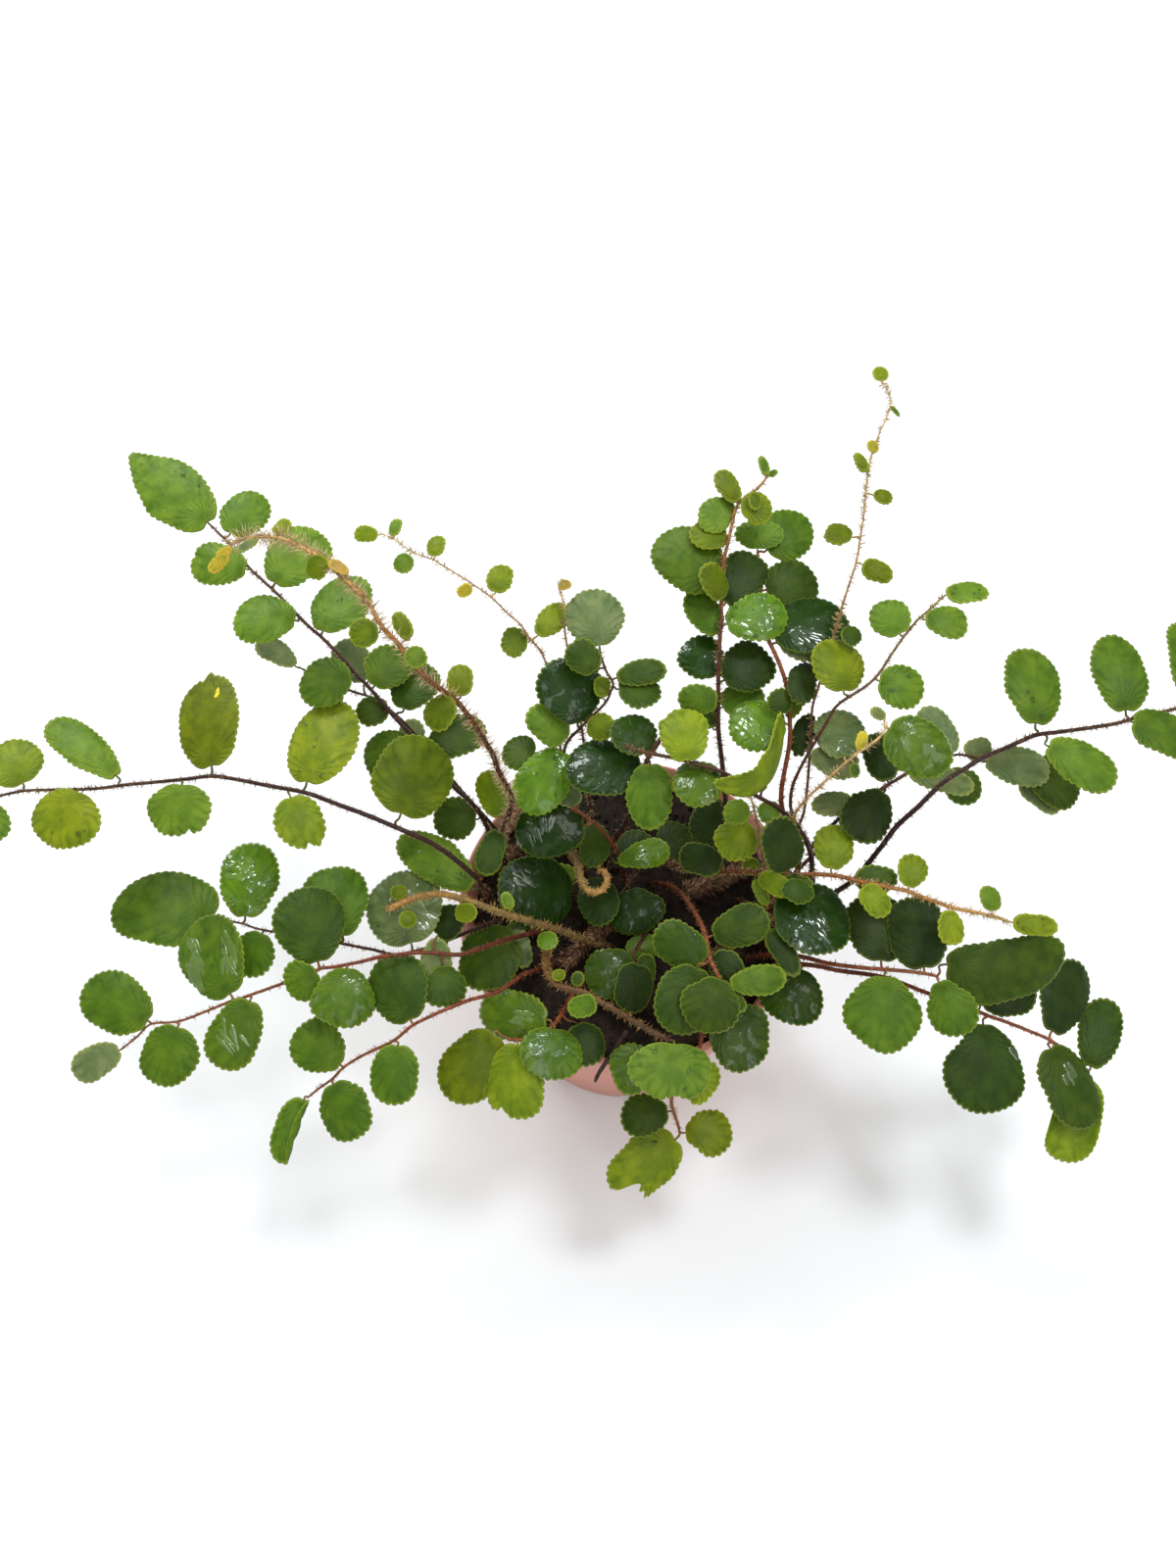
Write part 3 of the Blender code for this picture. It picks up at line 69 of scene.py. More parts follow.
# Each frond: name, stem radius at the crown and at the tip (mm), stem kind, stem route and leaflets.
# Stem kinds: d dark, r red-brown, o orange and hairy, t straw and hairy, g golden and hairy.
# Route points and leaflets are placed by sight lines (see sight), and a route point's third number is its height in mm.
# A leaflet is the foot of its blade, its far end, its breadth, a letter for its colour and any special habit.
# Colour letters: y yellow-green, l light green, m mid green, o olive, d dark green, k darkest, which is painted shade
# for leaflets lying in shade, b blue-grey, a painted sheen of wet leaflets, w wet and bright, s wet and dark, g golden,
# n brown.
FRONDS = [
    ("frond_left_long", 0.80, 0.34, "d",
     [(503, 925, 61), (498, 913, 72), (491, 903, 83), (484, 894, 90), (462, 875, 97), (440, 860, 101), (418, 850, 104),
      (406, 845, 105), (375, 832, 108), (345, 821, 110), (312, 809, 111), (275, 802, 111), (250, 797, 111),
      (218, 792, 110), (190, 795, 109), (160, 798, 107), (127, 801, 105), (95, 805, 102), (50, 806, 97),
      (25, 807, 94), (0, 812, 91), (-26, 820, 87)],
     [(24, 801, 2, 757, 58, "l"), (121, 794, 51, 735, 42, "l"), (216, 785, 214, 690, 60, "o"),
      (80, 806, 52, 864, 66, "y"), (186, 799, 178, 853, 65, "l"), (312, 801, 345, 715, 64, "y"),
      (296, 812, 316, 865, 50, "y"), (408, 833, 435, 751, 78, "o"), (484, 907, 408, 853, 46, "l"),
      (-14, 818, -22, 864, 50, "l"), (-28, 821, -76, 838, 44, "l")]),
    ("frond_upper_left", 0.75, 0.32, "d",
     [(505, 884, 61), (502, 866, 70), (499, 849, 79), (490, 831, 87), (480, 818, 92), (462, 802, 97), (440, 775, 104),
      (422, 753, 109), (412, 742, 111), (400, 729, 113), (390, 717, 115), (378, 703, 117), (362, 687, 119),
      (352, 675, 120), (340, 662, 121), (327, 649, 122), (316, 640, 123), (300, 624, 124), (285, 608, 124),
      (270, 594, 124), (255, 580, 123), (240, 562, 122), (228, 549, 121), (217, 538, 120)],
     [(215, 536, 132, 462, 58, "m", "point"), (234, 546, 266, 504, 46, "m"), (253, 581, 195, 571, 43, "m"),
      (279, 597, 324, 541, 54, "m"), (303, 633, 238, 629, 49, "m"), (328, 646, 366, 588, 54, "m"),
      (360, 691, 305, 701, 52, "m"), (381, 701, 407, 661, 47, "d"), (411, 725, 434, 677, 48, "k"),
      (397, 722, 363, 729, 30, "k"), (418, 752, 378, 792, 54, "m"), (440, 768, 492, 736, 42, "d"),
      (487, 836, 442, 834, 44, "b")]),
    ("frond_upper_left_under", 0.60, 0.30, "d",
     [(524, 868, 61), (497, 836, 70), (470, 806, 78), (440, 770, 86), (410, 735, 94), (381, 713, 99), (361, 706, 101),
      (335, 695, 102), (305, 681, 102)],
     [(302, 680, 264, 653, 25, "b"), (377, 692, 342, 658, 38, "b"), (350, 708, 322, 722, 24, "b"),
      (428, 768, 416, 734, 26, "b")]),
    ("frond_hairy_arch", 0.85, 0.45, "o",
     [(520, 903, 61), (516, 882, 70), (512, 862, 80), (513, 845, 89), (519, 832, 96), (522, 815, 103), (515, 798, 110),
      (508, 785, 115), (503, 770, 120), (497, 760, 123), (490, 748, 127), (480, 733, 131), (470, 720, 134),
      (460, 710, 136), (445, 700, 139), (435, 692, 141), (425, 682, 143), (415, 668, 145), (400, 650, 147),
      (390, 640, 148), (383, 628, 149), (377, 617, 149), (362, 600, 150), (347, 587, 150), (332, 571, 149),
      (318, 564, 148), (300, 554, 147), (280, 548, 146), (260, 548, 144), (245, 551, 142), (234, 556, 141)],
     [(263, 551, 241, 563, 9, "b"), (236, 559, 221, 570, 10, "g"), (233, 566, 213, 583, 13, "g"),
      (281, 545, 295, 530, 14, "o"), (327, 566, 320, 592, 22, "o"), (355, 586, 336, 572, 12, "n"),
      (387, 645, 356, 647, 31, "o"), (418, 652, 403, 625, 18, "b"), (417, 661, 431, 680, 22, "l"),
      (458, 709, 440, 744, 33, "o"), (470, 711, 469, 677, 26, "o"),
      (509, 846, 492, 893, 28, "d"), (512, 834, 494, 787, 32, "o")]),
    ("frond_thin_young", 0.45, 0.25, "d",
     [(585, 872, 61), (580, 840, 76), (576, 800, 90), (570, 750, 104), (563, 705, 114), (557, 676, 119), (550, 662, 121),
      (541, 652, 123), (530, 636, 126), (520, 628, 127), (502, 610, 130), (485, 598, 132), (470, 588, 133),
      (450, 576, 134), (444, 572, 134), (421, 563, 134), (400, 549, 134), (389, 545, 133)],
     [(386, 546, 361, 544, 17, "o"), (401, 547, 406, 529, 12, "l"), (418, 566, 405, 583, 19, "l"),
      (444, 568, 446, 546, 19, "y"), (505, 605, 515, 576, 27, "o"), (481, 598, 467, 607, 13, "g"),
      (539, 655, 511, 655, 32, "o"), (548, 649, 577, 617, 28, "o")]),
    ("frond_bud", 0.45, 0.40, "t",
     [(606, 862, 61), (602, 820, 76), (597, 770, 92), (590, 715, 108), (584, 672, 117), (579, 660, 120), (576, 640, 124),
      (577, 622, 127), (573, 608, 129), (570, 597, 130), (574, 591, 130)],
     [(578, 621, 592, 619, 14, "g"), (575, 592, 577, 602, 14, "n")]),
    ("frond_centre_dark", 0.70, 0.28, "d",
     [(600, 905, 61), (592, 872, 72), (584, 832, 84), (577, 795, 95), (575, 772, 101), (579, 757, 105), (590, 745, 109),
      (600, 735, 111), (618, 717, 115), (623, 706, 117), (626, 697, 119), (620, 688, 121), (615, 675, 123),
      (612, 665, 124)],
     [(612, 661, 601, 601, 63, "b"), (628, 692, 680, 681, 27, "b"), (630, 703, 674, 705, 36, "b"),
      (590, 740, 573, 671, 66, "s"), (577, 757, 541, 723, 36, "l"), (575, 765, 535, 829, 54, "w"),
      (607, 687, 584, 654, 36, "d"), (598, 741, 628, 742, 28, "o"), (547, 768, 512, 768, 36, "o"),
      (613, 712, 616, 690, 18, "o")]),
    ("frond_thick_dark", 1.00, 0.55, "d",
     [(615, 889, 61), (617, 878, 67), (622, 865, 74), (630, 853, 81), (636, 845, 85), (643, 830, 93), (650, 812, 101),
      (653, 800, 105), (657, 785, 109), (661, 774, 112), (668, 764, 114), (676, 750, 115)],
     [(663, 778, 664, 847, 47, "m"), (659, 770, 634, 731, 46, "d"), (654, 789, 578, 776, 60, "s"), (629, 880, 684, 865, 30, "w", 4),
      (677, 748, 680, 734, 14, "l")]),
    ("frond_centre_right", 0.80, 0.40, "d",
     [(770, 948, 61), (796, 930, 73), (818, 908, 83), (828, 888, 91), (826, 868, 98), (815, 845, 105), (803, 832, 109),
      (790, 822, 112), (770, 811, 115), (757, 801, 117), (745, 792, 118), (730, 785, 119), (710, 780, 119),
      (695, 775, 119), (680, 772, 119), (660, 768, 119), (645, 764, 118), (637, 761, 117)],
     [(702, 778, 695, 722, 49, "y"), (737, 790, 688, 806, 50, "l"), (782, 803, 774, 776, 98, "y", "boat")]),
    ("frond_small_leaves", 0.70, 0.40, "t",
     [(772, 922, 61), (781, 905, 72), (780, 886, 82), (778, 872, 88), (776, 858, 93), (774, 845, 97), (771, 832, 101),
      (768, 820, 104), (764, 809, 107)],
     [(766, 828, 738, 830, 27, "l"), (773, 824, 796, 833, 25, "m"), (773, 852, 729, 861, 43, "y"),
      (776, 882, 757, 887, 18, "l")]),
    ("frond_tall_hairy", 0.90, 0.35, "d",
     [(746, 878, 61), (747, 864, 72), (742, 828, 88), (737, 780, 102), (733, 745, 111), (733, 720, 117), (733, 690, 123),
      (734, 660, 128), (736, 630, 132), (736, 600, 136), (738, 575, 139), (743, 553, 142), (748, 530, 144),
      (752, 516, 146), (763, 505, 147), (771, 500, 148), (783, 487, 149)],
     [(783, 486, 776, 465, 10, "m"), (785, 486, 793, 480, 7, "m"), (770, 502, 770, 521, 13, "d"),
      (755, 518, 788, 517, 33, "y"), (752, 513, 733, 480, 22, "o"), (747, 532, 714, 518, 38, "l"),
      (742, 556, 705, 538, 30, "o"), (733, 597, 672, 548, 62, "d"), (736, 613, 721, 574, 27, "o"),
      (733, 648, 704, 602, 32, "o"), (734, 688, 700, 655, 46, "s"), (737, 695, 786, 668, 52, "k"),
      (739, 617, 774, 566, 48, "k"), (740, 637, 803, 624, 48, "w"), (728, 744, 706, 700, 28, "o"),
      (733, 716, 692, 711, 32, "k"), (736, 722, 778, 704, 36, "d"),
      (743, 850, 708, 826, 52, "k")]),
    ("frond_red_upright", 0.80, 0.45, "r",
     [(762, 948, 61), (792, 918, 76), (814, 886, 87), (812, 860, 94), (801, 835, 100), (797, 815, 105), (799, 795, 109),
      (803, 775, 112), (806, 755, 115), (806, 735, 118), (804, 710, 121), (800, 690, 124), (790, 665, 127),
      (783, 650, 129), (778, 625, 131), (776, 600, 133), (774, 580, 134), (773, 562, 135)],
     [(773, 561, 776, 531, 48, "l"), (781, 562, 823, 528, 54, "d"), (780, 602, 834, 592, 54, "d"),
      (787, 648, 866, 630, 56, "s"), (794, 656, 847, 655, 42, "b"), (803, 738, 743, 743, 55, "w"),
      (803, 692, 834, 698, 44, "k"), (806, 726, 787, 706, 26, "o"), (808, 745, 832, 752, 46, "k"),
      (806, 716, 818, 724, 30, "o")]),
    ("frond_tall_thin", 0.50, 0.26, "t",
     [(758, 962, 61), (790, 938, 74), (812, 905, 84), (816, 875, 92), (815, 845, 99), (820, 830, 103), (823, 810, 107),
      (825, 788, 111), (827, 755, 116), (829, 722, 121), (836, 698, 125), (845, 665, 130), (855, 635, 135),
      (861, 613, 138), (868, 592, 141), (874, 573, 143), (877, 555, 145), (880, 535, 147), (882, 520, 148),
      (884, 495, 149), (886, 480, 150), (889, 465, 150), (893, 455, 151), (898, 440, 151), (903, 430, 152),
      (909, 413, 152), (906, 400, 152), (901, 391, 151)],
     [(870, 548, 842, 541, 23, "o"), (880, 576, 911, 589, 21, "o"), (891, 505, 911, 508, 15, "o"),
      (884, 482, 873, 462, 12, "o"), (892, 462, 889, 449, 11, "g"), (899, 389, 897, 374, 16, "y"),
      (909, 415, 918, 425, 4, "m"), (860, 641, 877, 656, 20, "d")]),
    ("frond_upper_right", 0.60, 0.28, "d",
     [(778, 932, 61), (810, 912, 77), (828, 888, 90), (826, 862, 98), (814, 843, 103), (807, 826, 107), (808, 805, 111),
      (816, 785, 115), (830, 760, 119), (843, 738, 123), (853, 721, 126), (865, 712, 128), (875, 706, 129),
      (885, 699, 130), (893, 692, 131), (900, 683, 132), (908, 670, 133), (915, 660, 134), (922, 650, 135),
      (930, 640, 136), (938, 631, 136), (950, 621, 136), (958, 613, 135), (964, 608, 134)],
     [(861, 707, 850, 651, 51, "y"), (896, 694, 943, 706, 45, "l"), (919, 648, 898, 613, 41, "l"),
      (943, 632, 988, 638, 34, "l"), (965, 607, 1009, 603, 22, "l"), (831, 752, 884, 745, 53, "b"),
      (826, 770, 877, 782, 34, "d")]),
    ("frond_straw_right", 0.60, 0.40, "t",
     [(752, 946, 61), (780, 924, 78), (800, 895, 92), (806, 865, 102), (808, 845, 108), (811, 831, 113), (818, 821, 116),
      (828, 810, 119), (840, 799, 121), (855, 785, 124), (873, 770, 127), (888, 760, 129), (900, 750, 131),
      (903, 743, 132), (902, 735, 132)],
     [(905, 742, 968, 783, 58, "d"), (871, 779, 873, 794, 11, "d"), (903, 733, 889, 723, 12, "b"),
      (877, 766, 882, 746, 12, "g")]),
    ("frond_right_middle", 0.75, 0.40, "d",
     [(780, 946, 61), (808, 934, 70), (828, 908, 78), (829, 884, 85), (827, 868, 89), (837, 853, 93), (850, 841, 96),
      (870, 824, 101), (890, 811, 105), (907, 800, 108), (924, 791, 111)],
     [(927, 788, 994, 803, 27, "b"), (906, 798, 890, 748, 34, "k"), (903, 807, 868, 855, 50, "d"),
      (872, 818, 828, 822, 25, "b")]),
    ("frond_right_long", 0.85, 0.40, "d",
     [(772, 966, 61), (800, 950, 71), (832, 926, 76), (852, 911, 79), (866, 902, 84), (877, 893, 89), (885, 882, 94),
      (900, 863, 101), (915, 843, 107), (935, 825, 112), (952, 808, 115), (967, 795, 117), (985, 784, 118),
      (1003, 773, 119), (1020, 766, 119), (1040, 757, 119), (1057, 750, 118), (1080, 747, 117), (1110, 743, 115),
      (1140, 738, 113), (1160, 732, 111), (1185, 727, 108), (1200, 723, 106), (1230, 714, 102), (1254, 706, 98)],
     [(1057, 741, 1050, 661, 54, "m"), (1149, 728, 1133, 647, 51, "m"), (1068, 760, 1138, 800, 42, "m"),
      (1154, 736, 1222, 762, 42, "m"), (1210, 714, 1216, 636, 46, "m"), (1257, 705, 1305, 690, 40, "m")]),
    ("frond_right_under", 0.60, 0.30, "d",
     [(776, 930, 61), (822, 880, 74), (870, 832, 84), (915, 795, 92), (950, 778, 96), (978, 770, 98), (1003, 776, 99),
      (1025, 783, 99), (1048, 790, 98)],
     [(972, 770, 942, 722, 34, "b"), (985, 770, 1012, 758, 22, "b"), (1004, 777, 1072, 788, 40, "b"),
      (1050, 788, 1102, 808, 52, "d"), (1042, 796, 1080, 829, 22, "b"), (968, 785, 996, 818, 36, "d")]),
    ("frond_orange_right", 0.80, 0.40, "o",
     [(676, 878, 61), (688, 883, 69), (706, 887, 76), (730, 889, 83), (757, 889, 88), (780, 890, 92), (810, 892, 95),
      (830, 892, 97), (850, 893, 99), (865, 896, 100), (880, 900, 101), (895, 903, 101), (910, 906, 101),
      (925, 909, 101), (940, 915, 100), (955, 920, 99), (970, 926, 98), (985, 929, 97), (1000, 932, 96),
      (1020, 937, 94), (1031, 941, 93)],
     [(848, 888, 855, 841, 40, "y"), (880, 904, 906, 933, 28, "y"), (927, 906, 935, 872, 31, "y"),
      (968, 928, 973, 965, 26, "y"), (1012, 930, 1009, 904, 21, "l"), (1033, 941, 1080, 947, 23, "y"),
      (800, 896, 826, 914, 30, "m"), (872, 897, 916, 897, 28, "d"),
      (806, 889, 788, 834, 42, "d", 4), (738, 884, 692, 870, 34, "k"), (815, 896, 812, 922, 34, "m"),
      (774, 893, 809, 911, 22, "y", 1), (770, 897, 783, 924, 14, "l")]),
    ("frond_right_upper_red", 0.75, 0.45, "r",
     [(760, 978, 61), (782, 974, 68), (802, 974, 73), (822, 977, 77), (845, 983, 80), (875, 987, 83), (900, 989, 84),
      (925, 991, 85), (948, 994, 85), (957, 997, 84)],
     [(899, 983, 895, 912, 65, "k"), (943, 990, 929, 914, 56, "k"), (903, 994, 902, 1072, 78, "m"),
      (962, 985, 1086, 965, 78, "d", "half"), (957, 1000, 984, 1056, 50, "m")]),
    ("frond_right_lower_red", 0.75, 0.40, "r",
     [(758, 992, 61), (780, 990, 67), (804, 984, 71), (830, 985, 73), (845, 988, 74), (860, 991, 75), (885, 994, 76),
      (905, 998, 76), (925, 1005, 76), (940, 1011, 75), (965, 1020, 74), (993, 1030, 72), (1010, 1037, 71),
      (1030, 1044, 69), (1050, 1052, 67), (1069, 1060, 65), (1085, 1071, 62), (1103, 1089, 58)],
     [(1001, 1023, 1058, 1012, 38, "k"), (1003, 1042, 1003, 1136, 78, "d"), (1072, 1055, 1098, 979, 47, "k"),
      (1070, 1067, 1112, 1151, 50, "d"), (1112, 1091, 1131, 1019, 41, "d"), (1104, 1096, 1080, 1184, 58, "y", "curl"),
      (818, 987, 799, 1043, 68, "d")]),
    ("frond_left_lower", 0.70, 0.30, "r",
     [(574, 992, 61), (562, 988, 66), (550, 989, 70), (540, 992, 73), (530, 997, 76), (520, 1004, 78), (510, 1011, 79),
      (500, 1015, 80), (480, 1020, 81), (465, 1026, 82), (450, 1032, 82), (435, 1039, 82), (421, 1046, 81),
      (403, 1061, 79), (385, 1070, 77), (370, 1077, 75), (352, 1088, 73), (339, 1101, 70), (325, 1111, 67),
      (314, 1120, 65)],
     [(420, 1043, 393, 976, 61, "d"), (406, 1065, 399, 1128, 47, "d"), (349, 1088, 303, 1049, 53, "m"),
      (339, 1104, 365, 1162, 52, "m"), (311, 1120, 287, 1188, 40, "m", "fold")]),
    ("frond_left_middle", 0.75, 0.26, "r",
     [(558, 949, 61), (549, 951, 66), (535, 954, 71), (512, 960, 77), (490, 968, 81), (470, 974, 83), (452, 973, 84),
      (432, 972, 85), (415, 973, 86), (400, 975, 86), (385, 977, 86), (370, 981, 86), (355, 984, 86), (340, 987, 86),
      (328, 988, 86), (310, 996, 85), (290, 1003, 84), (265, 1012, 82), (245, 1019, 80), (237, 1021, 79),
      (215, 1030, 77), (183, 1042, 74), (154, 1045, 71), (140, 1058, 68), (126, 1069, 66)],
     [(325, 984, 310, 904, 72, "d"), (324, 991, 292, 1010, 44, "l"), (354, 986, 347, 1049, 63, "l"),
      (236, 1017, 199, 940, 65, "w"), (256, 1019, 222, 1089, 53, "m"), (182, 1046, 160, 1108, 56, "m"),
      (153, 1043, 86, 1003, 57, "m"), (123, 1071, 74, 1095, 35, "d"), (452, 984, 456, 1028, 46, "m"),
      (446, 956, 441, 1024, 34, "b")]),
    ("frond_left_middle_under", 0.65, 0.26, "d",
     [(540, 922, 61), (520, 934, 67), (480, 950, 73), (445, 964, 77), (418, 972, 79), (400, 974, 80), (385, 970, 80),
      (370, 967, 80), (350, 963, 80), (320, 957, 80), (280, 951, 80), (260, 947, 79), (250, 943, 78), (240, 941, 78),
      (224, 938, 77)],
     [(221, 937, 116, 920, 78, "m"), (250, 938, 257, 860, 58, "w"), (268, 951, 247, 996, 42, "m"),
      (350, 958, 336, 884, 62, "m"), (420, 965, 404, 889, 76, "b"), (456, 962, 460, 922, 34, "k"), (511, 942, 488, 1011, 61, "d", 3),
      (522, 940, 536, 988, 24, "b", 3)]),
    ("frond_golden", 1.00, 0.80, "g",
     [(622, 966, 61), (606, 963, 68), (588, 956, 74), (570, 949, 78), (550, 943, 81), (530, 937, 84), (510, 931, 86),
      (490, 923, 88), (470, 917, 89), (450, 912, 89), (432, 914, 89), (415, 919, 88), (402, 925, 88), (394, 929, 87)],
     [(408, 918, 405, 903, 18, "o"), (415, 929, 417, 947, 18, "o"), (475, 921, 475, 942, 23, "o"),
      (521, 928, 515, 910, 13, "l"), (560, 950, 558, 970, 21, "w")]),
    ("frond_golden_front", 0.85, 0.70, "g",
     [(566, 958, 61), (560, 966, 67), (557, 976, 73), (557, 986, 76), (560, 996, 79), (570, 1006, 81), (583, 1010, 82),
      (597, 1013, 83), (610, 1021, 84), (625, 1029, 85), (640, 1038, 85), (655, 1047, 85), (670, 1055, 85),
      (683, 1061, 84)],
     [(688, 1063, 684, 1124, 90, "l", "wide"), (609, 1023, 579, 1030, 24, "m"), (572, 1001, 568, 989, 14, "o"),
      (588, 1007, 591, 991, 14, "d")]),
    ("frond_front_left", 0.65, 0.45, "r",
     [(612, 988, 61), (598, 999, 65), (585, 1014, 69), (575, 1031, 72), (566, 1045, 74), (553, 1056, 74),
      (538, 1061, 73), (522, 1061, 71)],
     [(566, 1048, 558, 1102, 66, "m"), (528, 1063, 525, 1142, 58, "y"), (505, 1053, 458, 1121, 62, "o"),
      (560, 1041, 489, 1030, 50, "m"), (588, 1044, 607, 1086, 42, "k")]),
    ("frond_front", 0.65, 0.40, "r",
     [(690, 988, 61), (705, 1010, 66), (713, 1035, 71), (716, 1055, 74), (712, 1075, 74), (700, 1095, 71),
      (688, 1112, 66), (685, 1123, 62), (687, 1133, 58), (691, 1145, 53), (694, 1156, 49)],
     [(683, 1134, 633, 1142, 43, "d"), (691, 1161, 626, 1216, 56, "y", "bite"), (698, 1156, 748, 1156, 46, "o"),
      (702, 1094, 731, 1112, 44, "m"), (672, 1084, 622, 1095, 50, "m"), (725, 1046, 783, 1072, 68, "d")]),
    ("frond_front_right", 0.85, 0.50, "r",
     [(664, 900, 61), (680, 903, 68), (691, 908, 74), (700, 918, 79), (708, 930, 83), (714, 940, 86), (718, 950, 88),
      (721, 960, 90), (723, 970, 91), (725, 980, 92), (730, 990, 92), (735, 1000, 92), (739, 1006, 92)],
     [(726, 955, 785, 936, 42, "m"), (721, 981, 669, 948, 44, "m"), (728, 972, 754, 1000, 34, "d"),
      (743, 1004, 803, 997, 30, "l"), (743, 1010, 760, 1032, 15, "y"), (735, 997, 717, 1054, 60, "m"),
      (712, 985, 684, 1054, 60, "m")]),
    ("frond_crown_back", 0.55, 0.40, "r",
     [(637, 899, 61), (634, 878, 71), (625, 860, 79), (612, 845, 86), (596, 832, 92), (582, 823, 96)],
     [(598, 842, 526, 850, 58, "s"), (590, 822, 566, 798, 26, "b"), (624, 863, 590, 860, 46, "d"),
      (636, 882, 664, 852, 44, "k")]),
    ("frond_crown_left", 0.55, 0.40, "d",
     [(604, 925, 61), (594, 916, 64), (582, 908, 67), (570, 903, 69)],
     [(585, 914, 507, 908, 74, "s"), (590, 895, 557, 893, 26, "l"), (580, 925, 556, 931, 20, "l")]),
    ("frond_crown_middle", 0.55, 0.40, "d",
     [(662, 868, 61), (654, 880, 65), (646, 893, 69), (640, 903, 71)],
     [(642, 906, 654, 953, 58, "s"), (632, 912, 590, 926, 50, "k"), 
      (672, 866, 706, 850, 44, "k")]),
    ("frond_crown_front", 0.55, 0.40, "d",
     [(668, 930, 61), (662, 948, 65), (652, 964, 68), (645, 975, 70)],
     [(645, 974, 604, 1012, 54, "b"), (660, 972, 656, 1010, 22, "d"), (655, 953, 660, 979, 38, "b"),
      (652, 982, 640, 1034, 40, "k")]),
    ("frond_crown_right", 0.55, 0.40, "d",
     [(752, 918, 61), (764, 924, 71), (775, 931, 82), (785, 937, 92)],
     [(788, 938, 868, 940, 76, "s"), (784, 948, 814, 996, 24, "d")]),
    ("frond_crozier", 1.10, 0.80, "g",
     [(572, 862, 61), (580, 868, 68), (587, 876, 75), (591, 888, 80), (594, 900, 83), (600, 909, 85), (608, 911, 86),
      (616, 907, 86), (620, 898, 85), (617, 890, 84), (610, 888, 83)],
     []),
]


EYE = Vector((-10.6, -143.0, 346.0))
PITCH = math.radians(57.3)
REACH = 1201.7
MIDDLE = (600.0, 800.0)
LOOK = Vector((0.0, math.cos(PITCH), -math.sin(PITCH)))
HIGH = Vector((0.0, math.sin(PITCH), math.cos(PITCH)))
BACK = -LOOK

LEAF_HALF = 0.23        # half the thickness of a leaflet
GAP = 0.34              # free space kept round every piece
STEP = 1.5              # spacing of the points along a stem
SOIL_TOP = 60.0
POT_HEIGHT = 65.5
RIM_RADIUS = 45.0


def sight(x, y, z):
    """The point at height z that the eye sees at (x, y) of the layout."""
    ray = Vector(((x - MIDDLE[0]) / REACH, 0.0, 0.0)) + HIGH * ((MIDDLE[1] - y) / REACH) + LOOK
    return EYE + ray * ((z - EYE.z) / ray.z)


def seen(point):
    """Where the eye sees a point of the layout."""
    rel = point - EYE
    depth = rel.dot(LOOK)
    return MIDDLE[0] + REACH * rel.x / depth, MIDDLE[1] - REACH * rel.dot(HIGH) / depth


def bend(knots, step):
    """Points about one step apart on a smooth curve through the knots."""
    ends = [knots[0] * 2 - knots[1]] + knots + [knots[-1] * 2 - knots[-2]]
    out = []
    for i in range(1, len(ends) - 2):
        p0, p1, p2, p3 = ends[i - 1:i + 3]
        n = max(1, round((p2 - p1).length / step))
        for k in range(n):
            t = k / n
            out.append(0.5 * (2 * p1 + (p2 - p0) * t + (2 * p0 - 5 * p1 + 4 * p2 - p3) * t * t
                              + (3 * p1 - p0 - 3 * p2 + p3) * t * t * t))
    out.append(ends[-2])
    return out


class Stem:
    """A stem's centre line, which can be asked for its point, its direction and its radius at any length."""

    def __init__(self, points, thick, thin):
        self.points = points
        self.thick, self.thin = thick, thin
        self.along = [0.0]
        for a, b in zip(points, points[1:]):
            self.along.append(self.along[-1] + (b - a).length)
        self.length = self.along[-1]

    def place(self, s):
        s = min(max(s, 0.0), self.length)
        i = min(max(bisect.bisect_right(self.along, s) - 1, 0), len(self.points) - 2)
        t = (s - self.along[i]) / max(self.along[i + 1] - self.along[i], 1e-9)
        return self.points[i].lerp(self.points[i + 1], t)

    def heading(self, s):
        way = self.place(s + 1.0) - self.place(s - 1.0)
        return way.normalized()

    def radius(self, s):
        t = min(max(s / self.length, 0.0), 1.0)
        return self.thick + (self.thin - self.thick) * t ** 0.7

    def nearest(self, x, y):
        """The length at which the stem comes nearest to (x, y) as seen."""
        best, at = 1e9, 0.0
        for k in range(int(self.length / 0.5) + 1):
            u, v = seen(self.place(k * 0.5))
            d = (u - x) ** 2 + (v - y) ** 2
            if d < best:
                best, at = d, k * 0.5
        return at


def frame_at(stem, s):
    """Direction, sideways and front direction of the stem at length s."""
    t = stem.heading(s)
    n = t.cross(BACK)
    n = n.normalized() if n.length > 1e-3 else Vector((1, 0, 0))
    return t, n, n.cross(t)


